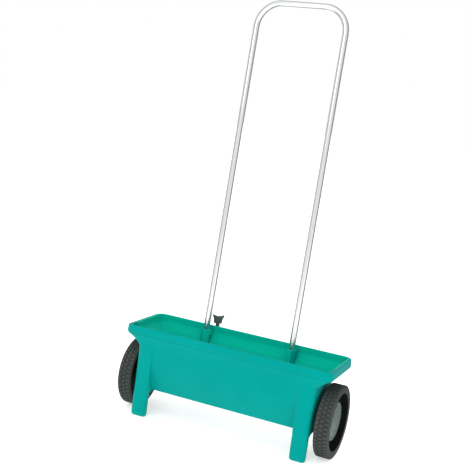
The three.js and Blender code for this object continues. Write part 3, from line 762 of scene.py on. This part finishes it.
def hopper_shell():
    """The moulding as one skin: the levels, then each leg carried on down from the lowest of them."""
    rings = hopper_levels()
    lowest = rings[0]
    count = len(lowest)
    points = [p for ring in rings for p in ring]
    faces = grid_faces(len(rings), count, False)
    faces.append(tuple(range(len(points) - count, len(points))))
    start = Vector(lowest[LEG_LAST][:2])
    end = Vector(lowest[LEG_FIRST][:2])
    pull = Vector((end.x + 8, LEG_BACK))
    chain = []
    for i in range(1, CHAIN_STEPS + 1):
        t = i / (CHAIN_STEPS + 1)
        chain.append((*(start * (1 - t) ** 2 + pull * 2 * t * (1 - t) + end * t * t), BODY_BOTTOM))
    top_loop = lowest[LEG_FIRST:LEG_LAST + 1] + chain
    chains = {}
    for _, side in SIDES:
        ring_part = list(range(LEG_FIRST, LEG_LAST + 1))
        if side < 0:
            ring_part = [count - i for i in ring_part]
        chains[side] = list(range(len(points), len(points) + CHAIN_STEPS))
        points += [(side * x, y, z) for x, y, z in chain]
        above = ring_part + chains[side]
        for z in LEG_HEIGHTS:
            below = list(range(len(points), len(points) + len(above)))
            points += [(side * x, y, z) for x, y, z in leg_loop(z, top_loop)]
            for i in range(len(above)):
                j = (i + 1) % len(above)
                faces.append((above[i], above[j], below[j], below[i]))
            above = below
        faces.append(tuple(above))
    faces.append((
        *range(LEG_FIRST + 1), *reversed(chains[1]), *range(LEG_LAST, count - LEG_LAST + 1),
        *chains[-1], *range(count - LEG_FIRST, count),
    ))
    return points, faces


SOCKET_RADIUS = 13
SOCKET_BOTTOM = 127
SOCKET_TOP = 247
OUTLET_COUNT = 12
OUTLET_PITCH = 40
OUTLET_LENGTH = 18
OUTLET_WIDTH = 14
LUG_BOTTOM = 236
LUG_TOP = 252
LUG_RADIUS = 9
BRACKET_SCREW_X = (SPINDLE_X - 8, SPINDLE_X + 8)
BRACKET_SCREW_Z = 112
RAIL_SCREWS = ((-200, -29), (200, -29), (-200, 29), (200, 29))


def knob_lug():
    """The lug behind the rim that the control spindle passes through."""
    y_start = RIM_BACK - 2
    outline = [(SPINDLE_X - LUG_RADIUS - 3, y_start), (SPINDLE_X + LUG_RADIUS + 3, y_start)]
    for step in range(13):
        angle = math.pi * step / 12
        outline.append((SPINDLE_X + LUG_RADIUS * math.cos(angle), SPINDLE_Y + LUG_RADIUS * math.sin(angle)))
    return prism(outline, LUG_BOTTOM, LUG_TOP, edge=0.8)


def hopper_additions():
    """The lug, the handle's sockets with their webs, and the bosses for the axle and the rail screws."""
    shells = [knob_lug()]
    for _, side in SIDES:
        x = side * TUBE_X
        low, high = along_at(SOCKET_BOTTOM), along_at(SOCKET_TOP)
        column = rounded([
            (0, low - 9), (5, low - 8), (SOCKET_RADIUS, low + 3), (SOCKET_RADIUS, high), (0, high),
        ], 3.0, closed=False)
        shells.append(lathe(column, 40, up_tube(x)))
        shells.append(box_shell(
            (x - SOCKET_RADIUS, x + SOCKET_RADIUS), (tube_y(SOCKET_TOP), RIM_BACK - 2),
            (RIM_TOP - LIP_HEIGHT - 4, SOCKET_TOP - 1),
        ))
        boss = rounded(band(0, 18, -23, -8), 1.5, closed=False)
        shells.append(lathe(boss, 48, on_axle(side)))
    for x, y in RAIL_SCREWS:
        boss = rounded([(0, 77), (6, 77), (5, 87), (0, 87)], 1.0, closed=False)
        shells.append(lathe(boss, 20, upright(x, y)))
    return shells


def hopper_cuts():
    """The bores for the tubes, the bushes and the spindle, and the outlets."""
    shells = []
    for _, side in SIDES:
        x = side * TUBE_X
        low, high = along_at(tube_low.z), along_at(SOCKET_TOP)
        bore = [
            (0, low), (TUBE_RADIUS + 0.3, low), (TUBE_RADIUS + 0.3, high - 1.5),
            (TUBE_RADIUS + 2.3, high + 0.5), (TUBE_RADIUS + 2.3, high + 25), (0, high + 25),
        ]
        shells.append(lathe(bore, 40, up_tube(x)))
        shells.append(lathe(band(0, 9.3, -31, 4), 40, on_axle(side)))
    for i in range(OUTLET_COUNT):
        x = (i - (OUTLET_COUNT - 1) / 2) * OUTLET_PITCH
        half_x, half_y = OUTLET_LENGTH / 2, OUTLET_WIDTH / 2
        corners = rectangle((x - half_x, x + half_x), (-half_y, half_y))
        shells.append(prism(rounded(corners, 2.5), BODY_BOTTOM - 1, FLOOR_TOP + 1))
    bore = band(0, SPINDLE_RADIUS + 0.4, LUG_BOTTOM - 1, LUG_TOP + 1)
    shells.append(lathe(bore, 24, upright(SPINDLE_X, SPINDLE_Y)))
    return shells


hopper = mesh_of("hopper_moulding", [hopper_shell()])
combine(hopper, hopper_additions(), "UNION", overlapping=True)
combine(hopper, hopper_cuts(), "DIFFERENCE")
finish_piece(hopper, "teal_plastic", "frame", "hopper", sharp=38)

# ---- handle

TUBE_SIDES = 40
BEND_STEPS = 28


def sweep(stations, outer, inner):
    """A hollow tube along stations of (point, direction), in the handle's own plane."""
    rings = []
    for radius, order in ((outer, stations), (inner, list(reversed(stations)))):
        for (x, along), (dx, dz) in order:
            ring = []
            for i in range(TUBE_SIDES):
                angle = 2 * math.pi * i / TUBE_SIDES
                offset = radius * math.cos(angle)
                ring.append((x + offset * dz, radius * math.sin(angle), along - offset * dx))
            rings.append(ring)
    points = [leaned(*p) for ring in rings for p in ring]
    return points, grid_faces(len(rings), TUBE_SIDES, True)


def loop_stations():
    """Up the left tube, over the two bends, and down the right one."""
    foot = along_at(loop_low.z + TUBE_RADIUS * math.sin(TUBE_LEAN))
    top = along_at(loop_high.z - TUBE_RADIUS)
    corner = TUBE_X - HANDLE_BEND
    stations = [((-TUBE_X, along), (0, 1)) for along in spaced(foot, top - HANDLE_BEND - 2, 10)]
    for side in (-1, 1):
        for step in range(BEND_STEPS + 1):
            share = step / BEND_STEPS
            angle = math.pi / 2 * (1 - share if side < 0 else share)
            point = (
                side * (corner + HANDLE_BEND * math.sin(angle)),
                top - HANDLE_BEND + HANDLE_BEND * math.cos(angle),
            )
            direction = (math.cos(angle), -side * math.sin(angle))
            stations.append((point, direction))
    stations += [((TUBE_X, along), (0, -1)) for along in spaced(top - HANDLE_BEND - 2, foot, 10)]
    return stations


loop = mesh_of("handle_hoop", [sweep(loop_stations(), TUBE_RADIUS, TUBE_RADIUS - TUBE_WALL)])
finish_piece(loop, "bright_tube", "frame", "handle_loop")

tube_end = along_at(tube_high.z - TUBE_RADIUS * math.sin(TUBE_LEAN))
for name, side in SIDES:
    stations = [((side * TUBE_X, along), (0, 1)) for along in spaced(0, tube_end, 6)]
    tube = mesh_of(f"lower_stem_{name}", [sweep(stations, TUBE_RADIUS, TUBE_RADIUS - TUBE_WALL)])
    finish_piece(tube, "bright_tube", "frame", f"lower_tube_{name}")

# ---- screws


def screw(name, node, head_radius, head_height, length, seat, toward):
    """A pan-head screw with a cross recess. Its head stands on seat and faces toward."""
    dome = [(0, head_height)]
    for step in range(1, 6):
        angle = step / 6 * math.pi / 2
        dome.append((head_radius * math.sin(angle), head_height * (0.45 + 0.55 * math.cos(angle))))
    outline = dome + [
        (head_radius, head_height * 0.35), (head_radius, 0), (2.0, 0), (2.0, -length + 2),
        (1.2, -length), (0, -length),
    ]
    turn = Vector((0, 0, 1)).rotation_difference(Vector(toward)).to_matrix()

    def place(r, angle, along):
        return Vector(seat) + turn @ Vector((r * math.cos(angle), r * math.sin(angle), along))
    made = mesh_of(name, [lathe(outline, 28, place)])
    arm, width, depth = head_radius * 0.5, head_radius * 0.12, head_height * 0.45
    cross = [
        (width, -arm), (width, -width), (arm, -width), (arm, width), (width, width), (width, arm),
        (-width, arm), (-width, width), (-arm, width), (-arm, -width), (-width, -width), (-width, -arm),
    ]
    levels = ((depth, 0.55), (head_height + 0.5, 1.05))
    recess = skin([
        [Vector(seat) + turn @ Vector((x * share, y * share, z)) for x, y in cross] for z, share in levels
    ])
    combine(made, [recess], "DIFFERENCE")
    finish_piece(made, "zinc_steel", "frame", node)


JOINT_SCREW_Z = (592, 680)
SOCKET_SCREW_Z = (152, 205)
SEAT_GAP = 0.2
lean_back = Vector((0, math.cos(TUBE_LEAN), -math.sin(TUBE_LEAN)))

for name, side in SIDES:
    for i, z in enumerate(JOINT_SCREW_Z):
        centre = Vector((side * TUBE_X, tube_y(z), z))
        screw(
            f"joint_plug_{name}_{i + 1}", f"joint_screw_{name}_{i + 1}", 4, 2.4, 9,
            centre - lean_back * (TUBE_RADIUS + SEAT_GAP), -lean_back,
        )
    for i, z in enumerate(SOCKET_SCREW_Z):
        centre = Vector((side * TUBE_X, tube_y(z), z))
        screw(
            f"socket_bolt_{name}_{i + 1}", f"socket_screw_{name}_{i + 1}", 4.5, 3, 11,
            centre + lean_back * (SOCKET_RADIUS + SEAT_GAP), lean_back,
        )

for i, (x, y) in enumerate(RAIL_SCREWS):
    screw(f"rail_bolt_{i + 1}", f"rail_screw_{i + 1}", 4, 2.4, 15.7, (x, y, 68.3), (0, 0, -1))
for i, x in enumerate(BRACKET_SCREW_X):
    screw(
        f"bracket_bolt_{i + 1}", f"bracket_screw_{i + 1}", 4, 2.4, 10.5,
        (x, rear_wall(BRACKET_SCREW_Z) + 5.2, BRACKET_SCREW_Z), (0, 1, 0),
    )

# ---- wheels and hub caps

TREAD_PITCHES = 52
TREAD_DEPTH = 3.0
BLOCK_SHARE = 0.60
WALL_SHARE = 0.05
BORE = 5.15
# The slot in the left wheel's hub that the drive pin lies in.
PIN_SLOT_X = (-281.2, -275)
PIN_SLOT_Y = (-2.3, 2.3)
PIN_SLOT_Z = (AXLE_Z - 14.5, AXLE_Z + 14.5)


def block_angles():
    """Where the blocks' walls stand within one pitch, in the outer and the staggered columns."""
    shares = set()
    for stagger in (0.0, 0.5):
        for share in (0.0, BLOCK_SHARE, BLOCK_SHARE + WALL_SHARE, 1 - WALL_SHARE):
            shares.add(round((share + stagger) % 1.0, 4))
    return sorted(shares)


def tread_stations():
    """The tread's rows from shoulder to shoulder: (radius, along, stagger of its blocks or None)."""
    groove = WHEEL_RADIUS - TREAD_DEPTH
    inner = [
        (WHEEL_RADIUS - 6.5, 0.0, None), (WHEEL_RADIUS - 4.0, 0.5, None), (WHEEL_RADIUS - 1.3, 1.8, 0.0),
        (WHEEL_RADIUS - 0.2, 3.0, 0.0), (WHEEL_RADIUS, 4.5, 0.0), (WHEEL_RADIUS, 12.6, 0.0),
        (groove, 13.3, None), (groove, 14.3, None), (WHEEL_RADIUS, 15.0, 0.5),
    ]
    return inner + [(radius, WHEEL_WIDTH - along, stagger) for radius, along, stagger in reversed(inner)]


def wheel_shell(side):
    """The tread as a grid of blocks, carried on round the dished faces to the hub."""
    face = rounded([
        (RING_INNER + 1.0, WHEEL_WIDTH), (RING_INNER, WHEEL_WIDTH - 1.5), (RING_INNER, 19), (55.3, 19),
        (55, 25.5), (50.5, 25.5), (50.5, 17), (BORE, 17), (BORE, 0), (15, 0), (16, 13), (85, 13), (88, 0),
    ], 1.4)
    stations = tread_stations() + [(r, along, None) for r, along in face]
    shares = block_angles()
    angles = [(pitch, share) for pitch in range(TREAD_PITCHES) for share in shares]
    place = on_axle(side)
    points = []
    for radius, along, stagger in stations:
        for pitch, share in angles:
            between_blocks = stagger is not None and (share - stagger) % 1.0 > BLOCK_SHARE + 1e-6
            r = min(radius, WHEEL_RADIUS - TREAD_DEPTH) if between_blocks else radius
            points.append(place(r, 2 * math.pi * (pitch + share) / TREAD_PITCHES, along))
    return points, grid_faces(len(stations), len(angles), True)


def cap_shell(side):
    """A dished cover with a raised ring and a low centre boss."""
    face = CAP_FACE
    outline = rounded([
        (0, face), (9, face), (11, face - 1.2), (27, face - 1.0), (28.5, face - 2.2), (31, face - 2.2),
        (32.5, face - 1.0), (42, face - 1.4), (43.5, face - 3.2), (46, face - 3.2), (47.5, face - 1.4),
        (51, face - 1.4), (52.5, face - 2.6), (52.5, face - 4.2), (49.5, face - 4.2), (49.5, 20), (46, 20),
        (46, face - 5.5), (0, face - 5.5),
    ], 0.7, closed=False)
    return lathe(outline, 96, on_axle(side))


for name, side in SIDES:
    body = "drive_axle" if side < 0 else "free_wheel"
    wheel = mesh_of(f"treaded_wheel_{name}", [wheel_shell(side)])
    if side < 0:
        pin_slot = box_shell(PIN_SLOT_X, PIN_SLOT_Y, PIN_SLOT_Z)
        combine(wheel, [pin_slot], "DIFFERENCE")
    finish_piece(wheel, "wheel_plastic", body, f"wheel_{name}", sharp=30)
    cap = mesh_of(f"hub_cover_{name}", [cap_shell(side)])
    finish_piece(cap, "cap_plastic", body, f"hub_cap_{name}")

# ---- axle, bushes and agitator

AXLE_RADIUS = 5
PIN_RADIUS = 2
axle_low, axle_high = box_mm("axle_shaft")
axle_outline = rounded(band(0, AXLE_RADIUS, axle_low.x, axle_high.x), 0.8, closed=False)
turned_piece("axle_rod", axle_outline, 40, on_axle(1, start=0), "zinc_steel", "drive_axle", "axle_shaft")

pin_low, pin_high = box_mm("drive_pin")
pin_x = (pin_low.x + pin_high.x) / 2
pin_outline = rounded(band(0, PIN_RADIUS, pin_low.z, pin_high.z), 0.5, closed=False)
turned_piece("drive_dowel", pin_outline, 20, upright(pin_x, 0), "zinc_steel", "drive_axle", "drive_pin")

for name, side in SIDES:
    place = on_axle(side)
    bush = rounded([(BORE, -24), (9, -24), (9, -7.4), (14, -7.4), (14, -4.6), (BORE, -4.6)], 0.6)
    turned_piece(f"nylon_bush_{name}", bush, 48, place, "white_nylon", "frame", f"axle_bush_{name}")
    washer = rounded(band(BORE, 11, 17.4, 18.9), 0.3)
    turned_piece(f"hub_washer_{name}", washer, 40, place, "zinc_steel", "drive_axle", f"axle_washer_{name}")
    clip = rounded([(BORE, 19.2), (10, 19.2), (10, 20), (7, 22), (BORE, 22)], 0.3)
    turned_piece(f"push_clip_{name}", clip, 40, place, "zinc_steel", "drive_axle", f"axle_clip_{name}")

SLEEVE_BORE = 5.2
SLEEVE_RADIUS = 8
PADDLE_REACH = 20
PADDLE_HALF_WIDTH = 6


def paddle_shell(x, swing):
    """A paddle with rounded tips, standing out both ways from the sleeve."""
    outline = rounded(rectangle((-1.5, 1.5), (-PADDLE_REACH, PADDLE_REACH)), 1.2)
    rings = []
    for offset, share in ((-PADDLE_HALF_WIDTH, 0.96), (-PADDLE_HALF_WIDTH + 0.8, 1.0),
                          (PADDLE_HALF_WIDTH - 0.8, 1.0), (PADDLE_HALF_WIDTH, 0.96)):
        rings.append([
            (x + offset, share * (u * math.cos(swing) + v * math.sin(swing)),
             AXLE_Z + share * (v * math.cos(swing) - u * math.sin(swing)))
            for u, v in outline
        ])
    return skin(rings)


for name, side in SIDES:
    low, high = box_mm(f"agitator_{name}")
    outline = rounded(band(SLEEVE_BORE, SLEEVE_RADIUS, low.x, high.x), 0.8)
    agitator = mesh_of(f"stirrer_{name}", [lathe(outline, 40, on_axle(1, start=0))])
    paddles = []
    for i in range(OUTLET_COUNT // 2):
        paddles.append(paddle_shell(side * (i + 0.5) * OUTLET_PITCH, i * math.pi / 4))
    combine(agitator, paddles, "UNION")
    bore = band(0, SLEEVE_BORE, low.x - 1, high.x + 1)
    combine(agitator, [lathe(bore, 40, on_axle(1, start=0))], "DIFFERENCE")
    finish_piece(agitator, "black_plastic", "drive_axle", f"agitator_{name}")

# ---- flow control

KNOB_BOTTOM = knob_low.z
KNOB_HEIGHT = knob_high.z - knob_low.z
KNOB_HALF_THICKNESS = 8
KNOB_DIP = 4.5
KNOB_DIP_START = 0.45
KNOB_RIB = 0.45
KNOB_NECK_TOP = 8.6
KNOB_NECK_RADIUS = 5.9
# Each pair is a height above the knob's foot and the half width there.
KNOB_PROFILE = (
    (0.0, 5.6), (0.5, KNOB_NECK_RADIUS), (KNOB_NECK_TOP, KNOB_NECK_RADIUS), (9.2, 6.8), (9.5, 10.6),
    (10.2, 11.8), (12.0, 12.2), (17.0, 12.5), (22.0, 13.2), (26.0, 14.6), (29.0, 16.2), (31.5, 17.4),
    (33.0, 17.0), (34.0, 15.8),
)
KNOB_REST_TURN = math.radians(27)
KNOB_POINTS = 72


def knob_ring(z, half_width, shrink=1.0):
    """A level of the knob: a flat oval with grip ribs, dipping in the middle near the top."""
    lobed = min(max((z - KNOB_NECK_TOP) / 1.6, 0.0), 1.0)
    thickness = KNOB_NECK_RADIUS + (KNOB_HALF_THICKNESS - KNOB_NECK_RADIUS) * lobed
    square = 1.0 + 0.75 * lobed
    dip = KNOB_DIP * (max(z / KNOB_HEIGHT - KNOB_DIP_START, 0.0) / (1 - KNOB_DIP_START)) ** 2
    ring = []
    for i in range(KNOB_POINTS):
        angle = 2 * math.pi * i / KNOB_POINTS
        c, s = math.cos(angle), math.sin(angle)
        u = math.copysign(abs(c) ** (1 / square), c)
        v = math.copysign(abs(s) ** (1 / square), s)
        rib = KNOB_RIB * lobed * (1 + math.cos(u * math.pi * 5)) * abs(s)
        x = u * half_width * shrink
        y = v * (thickness - 2 * KNOB_RIB * lobed + rib) * shrink
        ring.append((
            SPINDLE_X + x * math.cos(KNOB_REST_TURN) - y * math.sin(KNOB_REST_TURN),
            SPINDLE_Y + x * math.sin(KNOB_REST_TURN) + y * math.cos(KNOB_REST_TURN),
            KNOB_BOTTOM + z - dip * (1 - (u * shrink) ** 2),
        ))
    return ring


def knob_shell():
    rings = [knob_ring(z, half_width) for z, half_width in KNOB_PROFILE]
    top_z, top_width = KNOB_PROFILE[-1]
    rings += [knob_ring(top_z, top_width, shrink) for shrink in (0.9, 0.7, 0.45, 0.2)]
    return skin(rings)


knob = mesh_of("flow_knob", [knob_shell()])
finish_piece(knob, "black_plastic", "flow_control", "knob", sharp=50)

spindle_line = upright(SPINDLE_X, SPINDLE_Y)
rod = rounded(band(0, SPINDLE_RADIUS, spindle_low.z, spindle_high.z), 0.6, closed=False)
turned_piece("control_rod", rod, 32, spindle_line, "bright_alloy", "flow_control", "control_spindle")

clip_low, clip_high = box_mm("spindle_clip")
clip = rounded(band(SPINDLE_RADIUS + 0.15, 6, clip_low.z, clip_high.z), 0.3)
turned_piece("spindle_ring_clip", clip, 32, spindle_line, "zinc_steel", "flow_control", "spindle_clip")

# ---- CAD nodes that stay

KEPT = {
    "bright_alloy": ("joint_sleeve_left", "joint_sleeve_right"),
    "black_plastic": ("shutter_plate", "shutter_rail_front", "shutter_rail_rear", "spindle_bracket"),
    "zinc_steel": ("crank_arm", "crank_pin"),
}
KEPT_EDGE = 0.4


def dress(node, material):
    """Gives a CAD node its material and rounds its edges with modifiers."""
    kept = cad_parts[node]
    kept.data.materials.clear()
    kept.data.materials.append(material)
    weld = kept.modifiers.new("weld", "WELD")
    weld.merge_threshold = 0.01 * MM
    bevel = kept.modifiers.new("edges", "BEVEL")
    bevel.width = KEPT_EDGE * MM
    bevel.segments = 2
    bevel.limit_method = "ANGLE"
    bevel.angle_limit = math.radians(40)
    bevel.harden_normals = False


for slot, nodes in KEPT.items():
    for node in nodes:
        dress(node, MATERIALS[slot])

# ---- stage, lights and camera

# Lengths here are in metres, apart from the lens, which is in millimetres.
CAMERA_AZIMUTH = math.radians(22.94)
CAMERA_ELEVATION = math.radians(8.35)
CAMERA_ROLL = math.radians(7.21)
CAMERA_DISTANCE = 2.42142
CAMERA_TARGET = Vector((-0.05214, GROUND.y, 0.54656))
CAMERA_LENS = 67.17

FLOOR_HALF = 40.0
FLOOR_GLOW = 0.5
CARD_START = math.radians(66)
CARD_END = math.radians(170)
CARD_STEPS = 16
CARD_DISTANCE = 1.5
CARD_HEIGHT = 2.4
LOW_CARD_HEIGHT = 0.005


def matt_surface(name, corners, faces, tones, patch_scale, roughness):
    """A matt mesh that drifts between two grey tones, and its shader."""
    data = bpy.data.meshes.new(name)
    data.from_pydata(corners, [], faces)
    surface = add_object(name, data)
    material, tree, shader, where = new_material(name)
    drift = between(tree, noise(tree, where, patch_scale), 0.0, 1.0)
    tree.links.new(mixed(tree, drift, (tones[0],) * 3, (tones[1],) * 3), shader.inputs["Base Color"])
    shader.inputs["Roughness"].default_value = roughness
    shader.inputs["Specular IOR Level"].default_value = 0.0
    data.materials.append(material)
    return surface, shader


def make_floor():
    """A pale floor, wide enough to meet the horizon."""
    limits = (-FLOOR_HALF, FLOOR_HALF)
    corners = [(*corner, 0) for corner in rectangle(limits, limits)]
    floor, shader = matt_surface("floor", corners, [(0, 1, 2, 3)], (0.93, 0.95), 3.0, 0.9)
    shader.inputs["Emission Color"].default_value = (1, 1, 1, 1)
    shader.inputs["Emission Strength"].default_value = FLOOR_GLOW


def finish_card(name, corners, faces, tone):
    """A grey card that only glossy surfaces see."""
    card, _ = matt_surface(name, corners, faces, (tone * 0.95, tone * 1.05), 1.5, 1.0)
    card.visible_camera = False
    card.visible_diffuse = False
    card.visible_shadow = False
    card.visible_transmission = False


def make_card(name, side, tone):
    """A curved upright card, for the grey edges along the tubes."""
    corners = []
    faces = []
    for i in range(CARD_STEPS + 1):
        swing = CARD_START + (CARD_END - CARD_START) * i / CARD_STEPS
        azimuth = CAMERA_AZIMUTH + side * swing
        x, y = CARD_DISTANCE * math.sin(azimuth), -CARD_DISTANCE * math.cos(azimuth)
        corners += [(x, y, 0.01), (x, y, CARD_HEIGHT)]
        if i:
            faces.append((2 * i - 2, 2 * i, 2 * i + 1, 2 * i - 1))
    finish_card(name, corners, faces, tone)


def make_flat_card(name, height, tone):
    """A level card behind the spreader, for the grey edges along the handle's top bar."""
    corners = [(*corner, height) for corner in rectangle((-1.4, 1.4), (0.2, 1.4))]
    finish_card(name, corners, [(0, 1, 2, 3)], tone)


def make_world(strength):
    world = bpy.data.worlds.new("studio")
    world.use_nodes = True
    background = world.node_tree.nodes["Background"]
    background.inputs["Color"].default_value = (1, 1, 1, 1)
    background.inputs["Strength"].default_value = strength
    bpy.context.scene.world = world


def area_light(name, position, target, size, power):
    light = bpy.data.lights.new(name, "AREA")
    light.shape = "RECTANGLE"
    light.size, light.size_y = size
    light.energy = power
    made = add_object(name, light)
    made.location = position
    made.rotation_mode = "QUATERNION"
    made.rotation_quaternion = (Vector(target) - Vector(position)).to_track_quat("-Z", "Y")
    made.visible_camera = False


def make_camera():
    """A slightly raised view from the front right, turned about its own line of sight."""
    camera = bpy.data.cameras.new("camera")
    camera.sensor_width = 36
    camera.lens = CAMERA_LENS
    made = add_object("camera", camera)
    back = Vector((
        math.sin(CAMERA_AZIMUTH) * math.cos(CAMERA_ELEVATION),
        -math.cos(CAMERA_AZIMUTH) * math.cos(CAMERA_ELEVATION),
        math.sin(CAMERA_ELEVATION),
    ))
    right = Vector((math.cos(CAMERA_AZIMUTH), math.sin(CAMERA_AZIMUTH), 0))
    up = back.cross(right)
    turned_right = right * math.cos(CAMERA_ROLL) + up * math.sin(CAMERA_ROLL)
    turned_up = up * math.cos(CAMERA_ROLL) - right * math.sin(CAMERA_ROLL)
    turn = Matrix((turned_right, turned_up, back)).transposed().to_4x4()
    made.matrix_world = Matrix.Translation(CAMERA_TARGET + back * CAMERA_DISTANCE) @ turn
    bpy.context.scene.camera = made


make_floor()
make_world(1.0)
make_card("left_card", -1, 0.55)
make_card("right_card", 1, 0.32)
make_flat_card("low_card", LOW_CARD_HEIGHT, 0.45)
make_flat_card("high_card", CARD_HEIGHT, 0.40)
area_light("key", (-0.4, -3.4, 2.6), (0, 0, 0.3), (2.0, 2.0), 25)
make_camera()
bpy.context.scene.view_settings.view_transform = "Standard"
